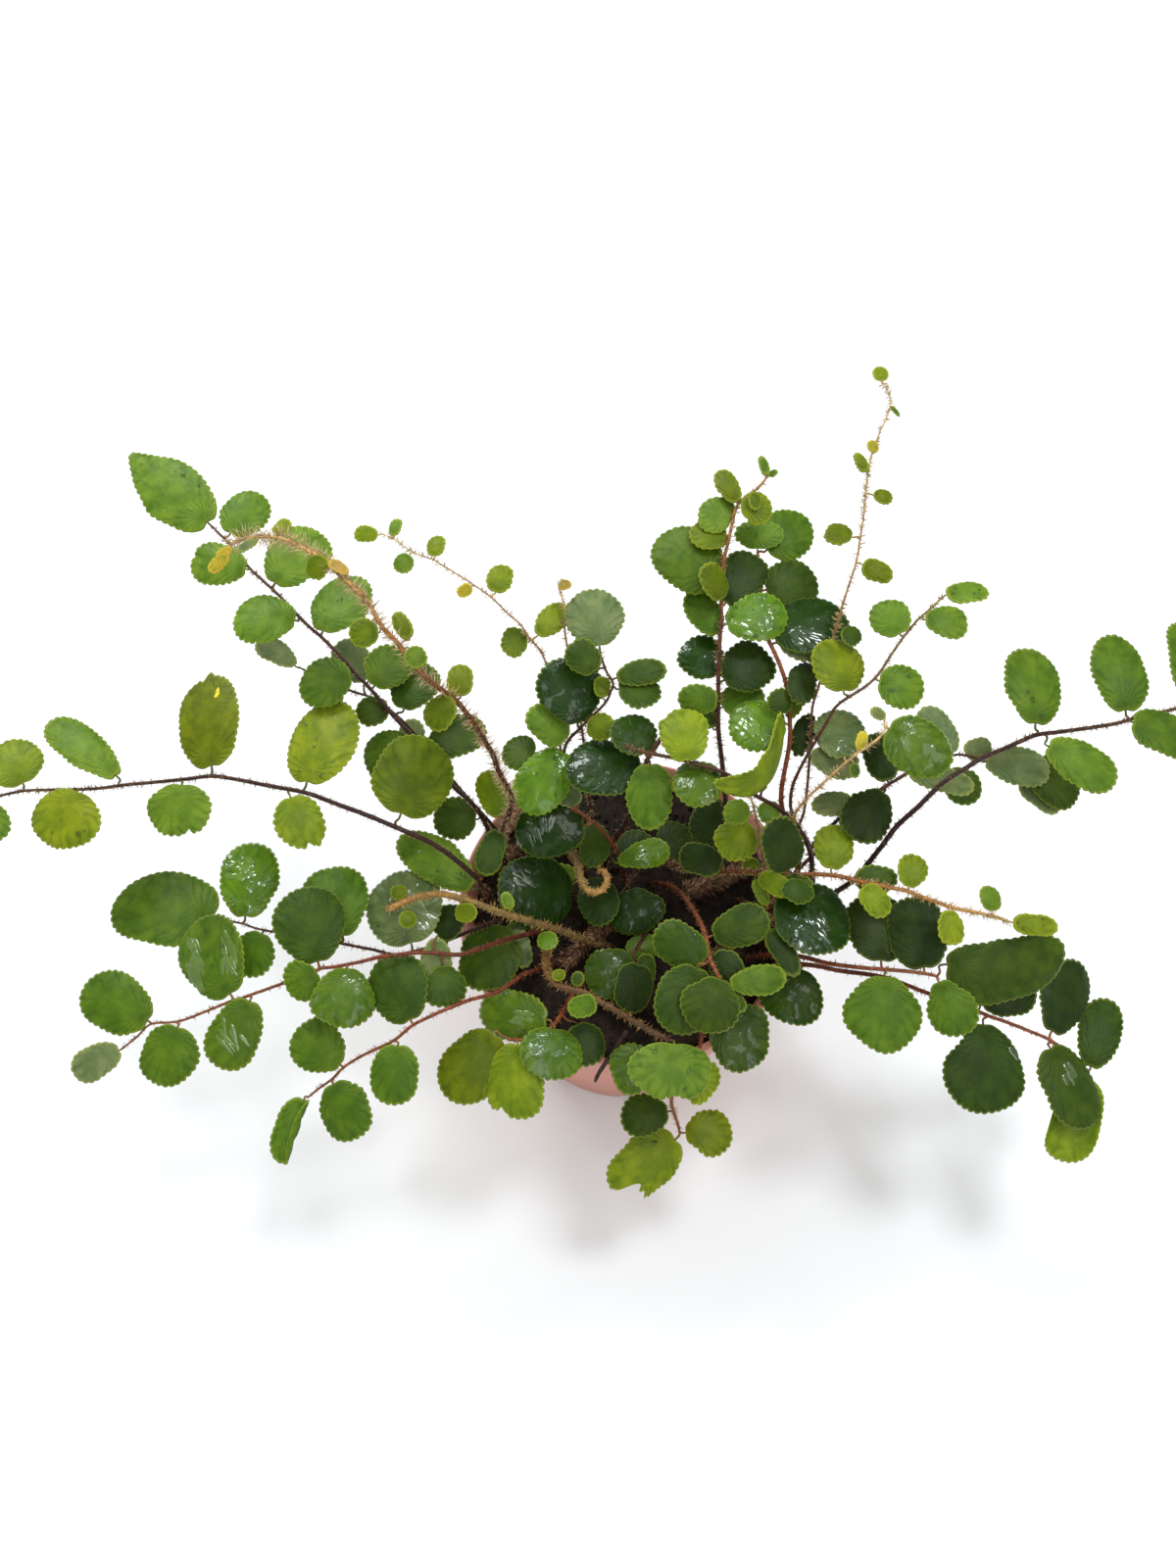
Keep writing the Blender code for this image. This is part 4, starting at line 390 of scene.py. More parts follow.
def part_stems(stems, fixed):
    """Bends stems apart where two would touch, mostly along the line of sight."""
    tips = [np.array([p[:] for p in stem.points]) for stem in stems]
    count = [len(t) for t in tips]
    owner = np.concatenate([np.full(n, i) for i, n in enumerate(count)])
    radius = np.concatenate([[stem.radius(a) for a in stem.along] for stem in stems])
    local = np.concatenate([np.arange(n) for n in count])
    stuck = np.isin(owner, fixed)
    for turn in range(40):
        pts = np.concatenate(tips)
        push = np.zeros_like(pts)
        busy = False
        for i in range(len(pts)):
            if owner[i] in fixed:
                continue
            near = np.nonzero((np.abs(pts - pts[i]) < 6.0).all(axis=1) & (owner != owner[i]))[0]
            if not len(near):
                continue
            gap = pts[i] - pts[near]
            far = np.linalg.norm(gap, axis=1)
            want = radius[i] + radius[near] + GAP + 0.35
            short = np.sqrt(np.maximum(want ** 2 - 0.0, 0)) - far
            k = int(np.argmax(short))
            if short[k] <= 0:
                continue
            busy = True
            way = gap[k] / max(far[k], 1e-6)
            eye = np.array((BACK * 1.0)[:])
            sign = 1.0 if way @ eye > 0 or (abs(way @ eye) < 0.05 and owner[i] > owner[near[k]]) else -1.0
            way = way * 0.35 + eye * sign * 0.65
            share = 1.0 if stuck[near[k]] else 0.55
            push[i] += way * (short[k] * share + 0.02)
        if not busy:
            break
        start = 0
        for n_i, n in enumerate(count):
            part = push[start:start + n]
            if np.abs(part).max() > 0:
                soft = part.copy()
                for d in range(1, 7):
                    w = math.exp(-(d / 3.5) ** 2)
                    moved = np.zeros_like(part)
                    moved[d:] += part[:-d] if n > d else 0
                    other = np.zeros_like(part)
                    other[:-d] += part[d:] if n > d else 0
                    for cand in (moved * w, other * w):
                        big = np.linalg.norm(cand, axis=1) > np.linalg.norm(soft, axis=1)
                        soft[big] = cand[big]
                soft[0, 2] = 0.0
                tips[n_i] = tips[n_i] + soft
                low = SOIL_TOP + 0.6 + radius[start:start + n]
                inside = np.hypot(tips[n_i][:, 0], tips[n_i][:, 1]) < RIM_RADIUS
                rise = inside & (local[start:start + n] > 0) & (tips[n_i][:, 2] < low)
                tips[n_i][rise, 2] = low[rise]
            start += n
    return [Stem([Vector(p) for p in t], stem.thick, stem.thin) for t, stem in zip(tips, stems)]


def breadth(t, oblong):
    """Half the breadth of a leaflet at t of its length, as a share of its widest."""
    x = 2 * t - 1
    if x < 0:
        return (1 - (-x) ** (3.4 if oblong else 2.7)) ** 0.5
    return (1 - x ** (2.9 if oblong else 2.3)) ** 0.5


def dice(*seed):
    """A number from -1 to 1 that depends only on the seed."""
    v = math.sin(sum((i + 1) * 12.9898 * s for i, s in enumerate(seed)) + 4.1414) * 43758.5453
    return 2 * (v - math.floor(v)) - 1


class Leaf:
    """A leaflet: where its stalk leaves the stem, the foot and the end of its blade, its front side and its breadth."""

    def __init__(self, frond, number, stem, spec):
        self.frond, self.number, self.stem = frond, number, stem
        self.foot_xy, self.end_xy, self.wide = spec[:2], spec[2:4], spec[4]
        self.tone = spec[5]
        self.habit = [h for h in spec[6:] if isinstance(h, str)]
        self.lift = sum(h for h in spec[6:] if not isinstance(h, str))
        self.at = stem.nearest(*self.foot_xy)
        self.last = self.at > stem.length - 1.2
        self.lean = 0.26 * dice(frond, number, 1)
        self.side_lean = 0.3 * dice(frond, number, 2)
        self.settle(0.0, 0.0)

    def settle(self, foot_shift, end_shift):
        base = self.stem.place(self.at).z + 0.4 + self.lift
        # The foot and the end are put at their heights and then moved along the line of sight.
        foot = sight(*self.foot_xy, base)
        facing = (BACK + Vector((0, 0, 1))).normalized()
        ray = (sight(*self.end_xy, base) - EYE).normalized()
        end = EYE + ray * ((foot - EYE).dot(facing) / ray.dot(facing))
        end = sight(*self.end_xy, end.z - 0.08 * (end - foot).length)
        foot = foot + (EYE - foot).normalized() * foot_shift
        end = end + (EYE - end).normalized() * end_shift
        self.foot, self.end = foot, end
        self.axis = (end - foot).normalized()
        self.long = (end - foot).length
        up = (BACK * 0.55 + Vector((0, 0, 0.45)) + Vector((self.lean, self.side_lean, 0))).normalized()
        front = up - self.axis * up.dot(self.axis)
        self.front = front.normalized()
        self.side = self.front.cross(self.axis)
        mid = foot.lerp(end, 0.5)
        ray = (mid - EYE).normalized()
        shown = (self.side - ray * self.side.dot(ray)).length
        self.half = 0.5 * self.wide * (mid - EYE).dot(LOOK) / REACH / max(shown, 0.62)
        self.oblong = self.long > 2.5 * self.half
        dome = 0.06 * self.long
        self.arch = dome

    def blade(self, t, across, raised=0.0):
        """A point of the blade: t along it, across it from -1 to 1, and raised from its middle surface."""
        bow = 0.0
        if "boat" in self.habit:
            middle = self.foot + self.axis * (self.long * (t + 0.9 * across * across))
        else:
            middle = self.foot + self.axis * (self.long * t) + self.side * bow
        sag = self.arch * 4 * t * (1 - t) - 0.05 * self.half * across * across
        return middle + self.side * (self.half * across) + self.front * (sag + raised)


RINGS = ((0.045, 0.0), (0.36, 0.0), (0.72, 0.0), (0.965, 0.0))
SMALL_RINGS = ((0.06, 0.0), (0.5, 0.0), (0.95, 0.0))


def leaf_rings(leaf, swell):
    """Rings of four points each round the blade: left front, right front, right back, left back."""
    rings = []
    for t, _ in (SMALL_RINGS if leaf.wide < 20 else RINGS):
        wide = breadth(t, leaf.oblong)
        left = right = wide
        if "half" in leaf.habit:
            left, right = wide * 1.2, wide * 0.45
        thick = LEAF_HALF + swell
        more = swell / max(leaf.half, 0.5)
        rings.append([leaf.blade(t, -left - more, thick), leaf.blade(t, right + more, thick),
                      leaf.blade(t, right + more, -thick), leaf.blade(t, -left - more, -thick)])
    return rings


def stalk_ring(leaf, swell):
    r = 0.20 + swell
    c = leaf.foot
    return [c - leaf.side * r + leaf.front * r, c + leaf.side * r + leaf.front * r,
            c + leaf.side * r - leaf.front * r, c - leaf.side * r - leaf.front * r]


def root_ring(leaf, swell):
    """The stalk's start, inside the stem."""
    r = 0.3 + swell
    c = leaf.stem.place(leaf.at)
    return [c - leaf.side * r + leaf.front * r, c + leaf.side * r + leaf.front * r,
            c + leaf.side * r - leaf.front * r, c - leaf.side * r - leaf.front * r]


def box_faces(n):
    faces = [(0, 1, 2, 3)]
    for i in range(n - 1):
        a, b = 4 * i, 4 * i + 4
        for k in range(4):
            m = (k + 1) % 4
            faces.append((a + k, b + k, b + m, a + m))
    e = 4 * (n - 1)
    faces.append((e + 3, e + 2, e + 1, e))
    return faces


def tree_of(rings):
    points = [p for ring in rings for p in ring]
    return BVHTree.FromPolygons(points, box_faces(len(rings)), all_triangles=False), points


def bounds_of(points):
    return ([min(p[i] for p in points) for i in range(3)], [max(p[i] for p in points) for i in range(3)])


def boxes_meet(a, b):
    return all(a[0][i] <= b[1][i] and b[0][i] <= a[1][i] for i in range(3))


def stem_rings(stem, swell, step=3.0):
    n = max(2, int(stem.length / step))
    rings = []
    for k in range(n + 1):
        s = stem.length * k / n
        t, side, front = frame_at(stem, s)
        r = (stem.radius(s) + swell) * 0.8
        p = stem.place(s)
        rings.append([p + side * r + front * r, p - side * r + front * r, p - side * r - front * r,
                      p + side * r - front * r])
    return rings


SHIFTS = sorted(((f, e) for f in (0, .6, -.6, 1.2, -1.2, 2, -2, 3, -3, 4, -4, 5.5, -5.5)
                 for e in [k * 0.75 * s for k in range(0, 17) for s in (1, -1)]),
                key=lambda v: (2.2 * abs(v[0]) + abs(v[1]) + 0.01 * (v[0] < 0) + 0.003 * (v[1] < 0)))


def lay_out(fronds, walls, fixed_stems):
    """Stems and leaflets of every frond, with free space between all of them and from the given walls."""
    stems = []
    for name, thick, thin, kind, route, leaves in fronds:
        stems.append(Stem(bend([sight(*p) for p in route], STEP), thick, thin))
    others = [Stem(bend([sight(*p) for p in route], STEP), r, r) for r, route in fixed_stems]
    parted = part_stems(stems + others, list(range(len(stems), len(stems) + len(others))))
    stems = parted[:len(stems)]
    placed = [("wall", None, tree, box) for tree, box in walls]
    for i, stem in enumerate(stems):
        tree, points = tree_of(stem_rings(stem, 0.0))
        placed.append(("stem", i, tree, bounds_of(points)))
    leaves, stubborn = [], []
    todo = []
    for i, (frond, stem) in enumerate(zip(fronds, stems)):
        for k, spec in enumerate(frond[5]):
            todo.append(Leaf(i, k, stem, spec))
    todo.sort(key=lambda leaf: (-leaf.half * leaf.long, leaf.frond, leaf.number))
    for leaf in todo:
        tried = 1e9
        for foot_shift, end_shift in SHIFTS:
            leaf.settle(foot_shift, foot_shift * 0.5 + end_shift)
            rings = leaf_rings(leaf, GAP)
            foot = stalk_ring(leaf, GAP * 0.6)
            whole, points = tree_of([root_ring(leaf, GAP * 0.6), foot] + rings)
            own, _ = tree_of([foot] + rings)
            blade, _ = tree_of(rings)
            box = bounds_of(points)
            if box[0][2] < SOIL_TOP and max(math.hypot(p[0], p[1]) for p in points) < RIM_RADIUS:
                continue
            hits = 0
            for what, owner, tree, other in placed:
                if not boxes_meet(box, other):
                    continue
                if owner == leaf.frond:
                    mine = blade if what == "stem" else own
                    tree = tree if what == "stem" else tree[1]
                else:
                    mine = whole
                    tree = tree[0] if what == "leaf" else tree
                if mine.overlap(tree):
                    hits += 1
                    break
            if not hits:
                break
        else:
            leaf.settle(0.0, 0.0)
            stubborn.append((fronds[leaf.frond][0], leaf.number))
        leaf.shift = (foot_shift, end_shift)
        rings = [stalk_ring(leaf, 0.0)] + leaf_rings(leaf, 0.0)
        tree, points = tree_of([root_ring(leaf, 0.0)] + rings)
        placed.append(("leaf", leaf.frond, (tree, tree_of(rings)[0]), bounds_of(points)))
        leaves.append(leaf)
    leaves.sort(key=lambda leaf: (leaf.frond, leaf.number))
    return stems, leaves, stubborn


POT_BASE_RADIUS = 32.0
POT_WALL = 1.2
POT_FLOOR = 1.6
RIM_LIP = 1.3           # how far the rim stands out from the wall
RIM_DEPTH = 5.0
POT_SIDES = 56
DRAIN_COUNT = 6
DRAIN_WIDE = 7.0
DRAIN_HIGH = 4.2


def wall_radius(z):
    """Outer radius of the pot's wall at height z."""
    return POT_BASE_RADIUS + (RIM_RADIUS - RIM_LIP - POT_BASE_RADIUS) * z / POT_HEIGHT


def pot_profile():
    """(radius, height) from the middle of the underside, out, up, over the rim, down inside and back to the middle."""
    low_rim = POT_HEIGHT - RIM_DEPTH
    return [(20.0, 0.0), (POT_BASE_RADIUS - 0.8, 0.0), (POT_BASE_RADIUS, 0.8), (wall_radius(low_rim), low_rim),
            (RIM_RADIUS - 0.4, low_rim + 0.5), (RIM_RADIUS, POT_HEIGHT - 1.0), (RIM_RADIUS - 0.5, POT_HEIGHT),
            (RIM_RADIUS - 1.1, POT_HEIGHT - 0.1), (RIM_RADIUS - RIM_LIP - POT_WALL + 0.1, POT_HEIGHT - 2.2),
            (wall_radius(low_rim) - POT_WALL, low_rim - 1.0), (wall_radius(3.0) - POT_WALL, 3.0),
            (POT_BASE_RADIUS - 2.8, POT_FLOOR)]


def soil_profile():
    low = POT_FLOOR + 0.35
    return [(POT_BASE_RADIUS - 3.4, low), (wall_radius(3.4) - POT_WALL - 0.5, 3.4),
            (wall_radius(SOIL_TOP - 1.5) - POT_WALL - 0.6, SOIL_TOP - 1.5)]


def lathe(profile, sides, closed_low, closed_high, wave=None):
    """Points and faces of a turned shape. Each end of the profile is closed with a flat middle."""
    points, faces = [], []
    for r, z in profile:
        for k in range(sides):
            a = 2 * math.pi * k / sides
            points.append(Vector((r * math.cos(a), r * math.sin(a), z + (wave(r, a) if wave else 0.0))))
    for i in range(len(profile) - 1):
        for k in range(sides):
            m = (k + 1) % sides
            faces.append((i * sides + k, i * sides + m, (i + 1) * sides + m, (i + 1) * sides + k))
    for ring, given, turned in ((0, closed_low, True), (len(profile) - 1, closed_high, False)):
        if given is None:
            continue
        points.append(Vector((0, 0, given)))
        c = len(points) - 1
        for k in range(sides):
            m = (k + 1) % sides
            a, b = ring * sides + k, ring * sides + m
            faces.append((a, c, b) if turned else (a, b, c))
    return points, faces


RHIZOMES = [
    ("rhizome_left", 1.9, [(508, 892, 63.4), (520, 876, 63.6), (536, 862, 63.4), (552, 852, 63.0)]),
    ("rhizome_back", 2.3, [(698, 911, 63.6), (718, 904, 64.4), (742, 896, 64.0), (762, 885, 63.2)]),
    ("rhizome_middle", 2.2, [(630, 938, 63.4), (612, 948, 64.0), (592, 968, 64.2), (574, 984, 63.4)]),
    ("rhizome_right", 2.1, [(692, 986, 63.2), (712, 979, 64.0), (732, 974, 64.0), (746, 968, 63.4)]),
]


STUB = ("dead_stem", 0.9, [(640, 1052, 61.2), (632, 1064, 64.5), (625, 1075, 67.2), (617, 1086, 68.6), (611, 1095, 67.6),
                           (607, 1104, 65.6)])


def tube(stem, sides, gap, lumps=0.0):
    """Rings round a stem, each closed at its end."""
    count = max(3, int(stem.length / gap))
    points, faces = [], []
    for i in range(count + 1):
        s = stem.length * i / count
        t, side, front = frame_at(stem, s)
        shrink = 0.55 if i in (0, count) else 1.0
        for k in range(sides):
            a = 2 * math.pi * (k + 0.5 * (i % 2) * 0) / sides
            r = stem.radius(s) * shrink * (1 + lumps * dice(i, k, sides))
            points.append(stem.place(s) + side * (r * math.cos(a)) + front * (r * math.sin(a)))
    for i in range(count):
        for k in range(sides):
            m = (k + 1) % sides
            faces.append((i * sides + k, i * sides + m, (i + 1) * sides + m, (i + 1) * sides + k))
    faces.append(tuple(reversed(range(sides))))
    faces.append(tuple(count * sides + k for k in range(sides)))
    return points, faces


def wall_tree(points, faces):
    return BVHTree.FromPolygons(points, faces), bounds_of(points)


# ---------------------------------------------------------------- colours and habits of the look

# Base colour of a leaflet by its tone, linear. The darkest tone k is painted shade for leaflets lying in shade, and the
# blue-grey tone b is a painted sheen of wet leaflets.
TONES = {
    "y": (0.180, 0.234, 0.0075), "l": (0.130, 0.215, 0.0165), "m": (0.084, 0.150, 0.0075), "o": (0.121, 0.158, 0.0015),
    "d": (0.042, 0.077, 0.0038), "e": (0.030, 0.062, 0.0030), "k": (0.0235, 0.045, 0.004), "b": (0.154, 0.194, 0.073), "w": (0.104, 0.196, 0.008),
    "s": (0.015, 0.042, 0.0015), "g": (0.430, 0.327, 0.028), "n": (0.400, 0.244, 0.054),
}
# Colour of a stem from its foot to its tip, by kind, linear.
STEMS = {
    "d": [(0.0, (0.034, 0.015, 0.010)), (0.5, (0.033, 0.011, 0.009)), (1.0, (0.095, 0.048, 0.020))],
    "c": [(0.0, (0.045, 0.018, 0.014)), (0.6, (0.070, 0.026, 0.016)), (0.85, (0.280, 0.125, 0.040)), (1.0, (0.420, 0.260, 0.090))],
    "r": [(0.0, (0.090, 0.028, 0.014)), (0.5, (0.170, 0.045, 0.019)), (1.0, (0.235, 0.090, 0.032))],
    "o": [(0.0, (0.045, 0.017, 0.013)), (0.42, (0.085, 0.027, 0.015)), (0.58, (0.250, 0.100, 0.030)),
          (0.78, (0.480, 0.290, 0.085)), (1.0, (0.570, 0.430, 0.190))],
    "p": [(0.0, (0.060, 0.022, 0.014)), (0.25, (0.110, 0.036, 0.018)), (0.60, (0.270, 0.105, 0.032)), (0.85, (0.420, 0.230, 0.065)),
          (1.0, (0.470, 0.330, 0.120))],
    "u": [(0.0, (0.034, 0.015, 0.010)), (0.60, (0.060, 0.025, 0.015)), (0.86, (0.190, 0.120, 0.040)), (1.0, (0.280, 0.300, 0.080))],
    "t": [(0.0, (0.060, 0.024, 0.015)), (0.45, (0.120, 0.052, 0.024)), (0.62, (0.340, 0.195, 0.075)), (1.0, (0.600, 0.480, 0.230))],
    "g": [(0.0, (0.070, 0.040, 0.018)), (0.35, (0.140, 0.090, 0.028)), (0.7, (0.250, 0.170, 0.050)), (1.0, (0.420, 0.220, 0.060))],
    "h": [(0.0, (0.260, 0.165, 0.040)), (0.4, (0.160, 0.088, 0.030)), (1.0, (0.070, 0.034, 0.018))],
}
# Hairs on a stem, by kind: number a millimetre, shortest and longest, colour.
HAIRS = {
    "d": (4.5, 0.5, 1.4, (0.330, 0.190, 0.085)), "r": (3.5, 0.4, 1.2, (0.420, 0.190, 0.080)),
    "c": (6.0, 0.6, 1.9, (0.430, 0.250, 0.100)),
    "o": (12.0, 1.0, 3.4, (0.760, 0.560, 0.300)), "t": (6.0, 0.6, 1.8, (0.660, 0.480, 0.240)),
    "p": (9.0, 0.5, 1.7, (0.640, 0.430, 0.190)), "u": (4.5, 0.5, 1.3, (0.360, 0.200, 0.090)),
    "g": (7.5, 0.5, 1.6, (0.600, 0.380, 0.140)), "h": (7.5, 0.5, 1.6, (0.480, 0.280, 0.090)),
}
# Stems whose look differs from their kind's.
LOOK_KIND = {"frond_golden_front": "h", "frond_tall_hairy": "c", "frond_thin_young": "t", "frond_upper_right": "u",
             "frond_orange_right": "p"}
# Where a film of water stands in ridges on a blade: middle, breadth and height in picture units, ridges, their heading.
FILMS = {
    ("frond_crown_back", 0): [(552, 843, 30, 34, 13, 78)], ("frond_crown_left", 0): [(526, 893, 34, 22, 11, 35)],
    ("frond_crown_right", 0): [(830, 947, 28, 26, 11, 60)], ("frond_red_upright", 5): [(764, 746, 30, 30, 10, 60)],
    ("frond_tall_hairy", 13): [(752, 640, 26, 22, 6, 20), (785, 622, 18, 12, 4, -20)],
    ("frond_red_upright", 3): [(822, 652, 30, 26, 10, 30)], ("frond_right_lower_red", 1): [(1034, 1070, 10, 26, 5, 65)],
    ("frond_right_lower_red", 3): [(1088, 1098, 10, 26, 5, 75)], ("frond_thick_dark", 3): [(660, 872, 36, 14, 9, -18)],
    ("frond_left_middle", 3): [(200, 981, 24, 54, 12, 62), (235, 978, 16, 36, 7, 75)],
    ("frond_left_middle_under", 1): [(246, 888, 26, 26, 8, 12)], ("frond_left_middle", 4): [(240, 1052, 28, 40, 6, 62)], ("frond_left_middle_under", 4): [(428, 932, 30, 40, 9, 45)],
    ("frond_front_left", 3): [(533, 1038, 26, 14, 5, 20)], ("frond_thick_dark", 2): [(604, 760, 22, 22, 3, 70)], ("frond_centre_right", 1): [(640, 700, 20, 16, 4, 10)],
}
# Tones of the look that differ from a leaflet's row, by frond: leaflet and tone. A change to k paints shade, and one to
# b paints a wet sheen.
RETONE = {
    "frond_upper_left": {0: "l", 1: "l", 2: "l", 3: "l", 4: "l", 5: "l", 7: "m", 8: "d", 9: "d", 12: "d"},
    "frond_tall_hairy": {2: "o", 7: "m", 9: "m", 14: "d", 15: "m", 16: "m"},
    "frond_left_middle": {1: "m", 2: "m", 3: "m", 7: "b", 8: "d"},
    "frond_front_right": {0: "d", 1: "d", 2: "k", 3: "m", 4: "d", 5: "d", 6: "d"},
    "frond_right_lower_red": {1: "e", 6: "e"}, "frond_thick_dark": {1: "e"},
    "frond_crown_left": {2: "m"}, "frond_crown_right": {1: "k"}, "frond_centre_dark": {1: "d", 2: "d", 8: "d"},
    "frond_thin_young": {0: "y", 4: "y", 7: "y"}, "frond_small_leaves": {3: "o"}, "frond_hairy_arch": {3: "y", 7: "o"},
    "frond_straw_right": {0: "m"}, "frond_red_upright": {1: "m", 7: "d"}, "frond_crown_front": {0: "d", 2: "m"},
    "frond_right_middle": {2: "k"}, "frond_right_long": {2: "l"}, "frond_orange_right": {6: "d", 8: "k", 10: "d"},
    "frond_centre_right": {1: "m"}, "frond_left_lower": {1: "m"}, "frond_left_long": {0: "y"}, "frond_front": {3: "y"},
    "frond_upper_right": {6: "b"},
}
# Notches (and, with a minus, points) in the far margin of a blade: place across, breadth, depth as shares.
NIPS = {("frond_left_long", 2): [(0.0, 0.11, -0.05), (0.22, 0.10, 0.03)], ("frond_left_long", 4): [(0.38, 0.10, 0.09)],
        ("frond_left_long", 6): [(0.05, 0.12, 0.10), (0.42, 0.14, -0.04)], ("frond_front_left", 1): [(-0.45, 0.16, 0.09)],
        ("frond_right_lower_red", 2): [(0.5, 0.3, 0.05)], ("frond_upper_left", 2): [(-0.2, 0.12, 0.04)],
        ("frond_hairy_arch", 4): [(0.1, 0.14, 0.05)]}
# Small marks on a blade: middle, breadth and height in picture units, colour.
MARKS = {("frond_left_long", 2): [(224, 712, 5, 11, (0.80, 0.70, 0.03))]}
# Wet leaflets beyond those of the wet tones, and the number of drops lying on some.
WET = {("frond_centre_right", 1), ("frond_red_upright", 4), ("frond_upper_right", 5), ("frond_front", 4),
       ("frond_front", 5), ("frond_front_left", 0), ("frond_front_left", 3), ("frond_left_middle_under", 4),
       ("frond_crown_front", 0), ("frond_right_lower_red", 6), ("frond_thick_dark", 1), ("frond_left_middle", 2),
       ("frond_crown_front", 2), ("frond_crown_back", 1), ("frond_straw_right", 0)}
DROPS = {("frond_left_long", 8): 16, ("frond_centre_right", 1): 12, ("frond_centre_dark", 5): 9,
         ("frond_left_long", 5): 10, ("frond_thick_dark", 2): 2, ("frond_crown_middle", 0): 2,
         ("frond_golden_front", 0): 7, ("frond_front_left", 3): 4, ("frond_upper_right", 1): 5,
         ("frond_orange_right", 5): 5, ("frond_left_middle", 3): 7, ("frond_left_middle_under", 1): 5,
         ("frond_red_upright", 5): 6, ("frond_tall_hairy", 13): 6, ("frond_red_upright", 0): 5,
         ("frond_thick_dark", 3): 5, ("frond_left_middle_under", 4): 8, ("frond_crown_right", 0): 5,
         ("frond_upper_left", 0): 6, ("frond_upper_left", 5): 5, ("frond_right_long", 0): 5,
         ("frond_hairy_arch", 6): 3, ("frond_upper_right", 4): 4, ("frond_front_right", 1): 3,
         ("frond_crown_back", 0): 4, ("frond_crown_left", 0): 4, ("frond_right_upper_red", 0): 4,
         ("frond_left_long", 3): 6, ("frond_front", 1): 4}

BLADE = 0.19            # half the thickness of a leaflet's blade
SCALLOP = 1.75          # length of margin to a scallop
PER_SCALLOP = 5
DEPTH = 0.50            # depth of a scallop
MID_T = 0.46            # where the rings of a blade have their middle


def smooth(x, low, high):
    t = np.clip((np.asarray(x, float) - low) / (high - low), 0.0, 1.0)
    return t * t * (3 - 2 * t)


class Shape:
    """Points, faces and the values that the materials read, gathered for one piece."""

    def __init__(self):
        self.points, self.faces, self.tone, self.spot, self.look, self.slot = [], [], [], [], [], []
        self.count = 0

    def add(self, points, faces, tone, spot=None, look=(0.0, 0.0, 0.0), slot=0):
        n = len(points)
        self.points.append(np.asarray(points, float).reshape(n, 3))
        self.tone.append(np.broadcast_to(np.asarray(tone, float), (n, 3)))
        self.spot.append(np.zeros((n, 3)) if spot is None else np.asarray(spot, float))
        self.look.append(np.broadcast_to(np.asarray(look, float), (n, 3)))
        base = self.count
        self.faces.extend(tuple(base + i for i in face) for face in faces)
        self.slot.extend([slot] * len(faces))
        self.count += n

    def build(self, name, materials):
        mesh = bpy.data.meshes.new(name)
        points = np.concatenate(self.points) * 0.001
        mesh.vertices.add(len(points))
        mesh.vertices.foreach_set("co", points.astype(np.float32).ravel())
        sizes = np.array([len(f) for f in self.faces], np.int32)
        loops = np.fromiter((i for f in self.faces for i in f), np.int32, int(sizes.sum()))
        mesh.loops.add(len(loops))
        mesh.loops.foreach_set("vertex_index", loops)
        mesh.polygons.add(len(sizes))
        mesh.polygons.foreach_set("loop_start", np.concatenate([[0], np.cumsum(sizes)[:-1]]).astype(np.int32))
        mesh.polygons.foreach_set("material_index", np.array(self.slot, np.int32))
        mesh.update(calc_edges=True)
        mesh.validate()
        for key, rows in (("spot", self.spot), ("look", self.look)):
            layer = mesh.attributes.new(key, "FLOAT_VECTOR", "POINT")
            layer.data.foreach_set("vector", np.concatenate(rows).astype(np.float32).ravel())
        layer = mesh.attributes.new("tone", "FLOAT_COLOR", "POINT")
        tone = np.concatenate(self.tone)
        layer.data.foreach_set("color", np.column_stack([tone, np.ones(len(tone))]).astype(np.float32).ravel())
        mesh.shade_smooth()
        for material in materials:
            mesh.materials.append(material)
        obj = bpy.data.objects.new(name, mesh)
        bpy.context.scene.collection.objects.link(obj)
        return obj


# ---------------------------------------------------------------- leaflets

def vec(v):
    return np.array((v.x, v.y, v.z))


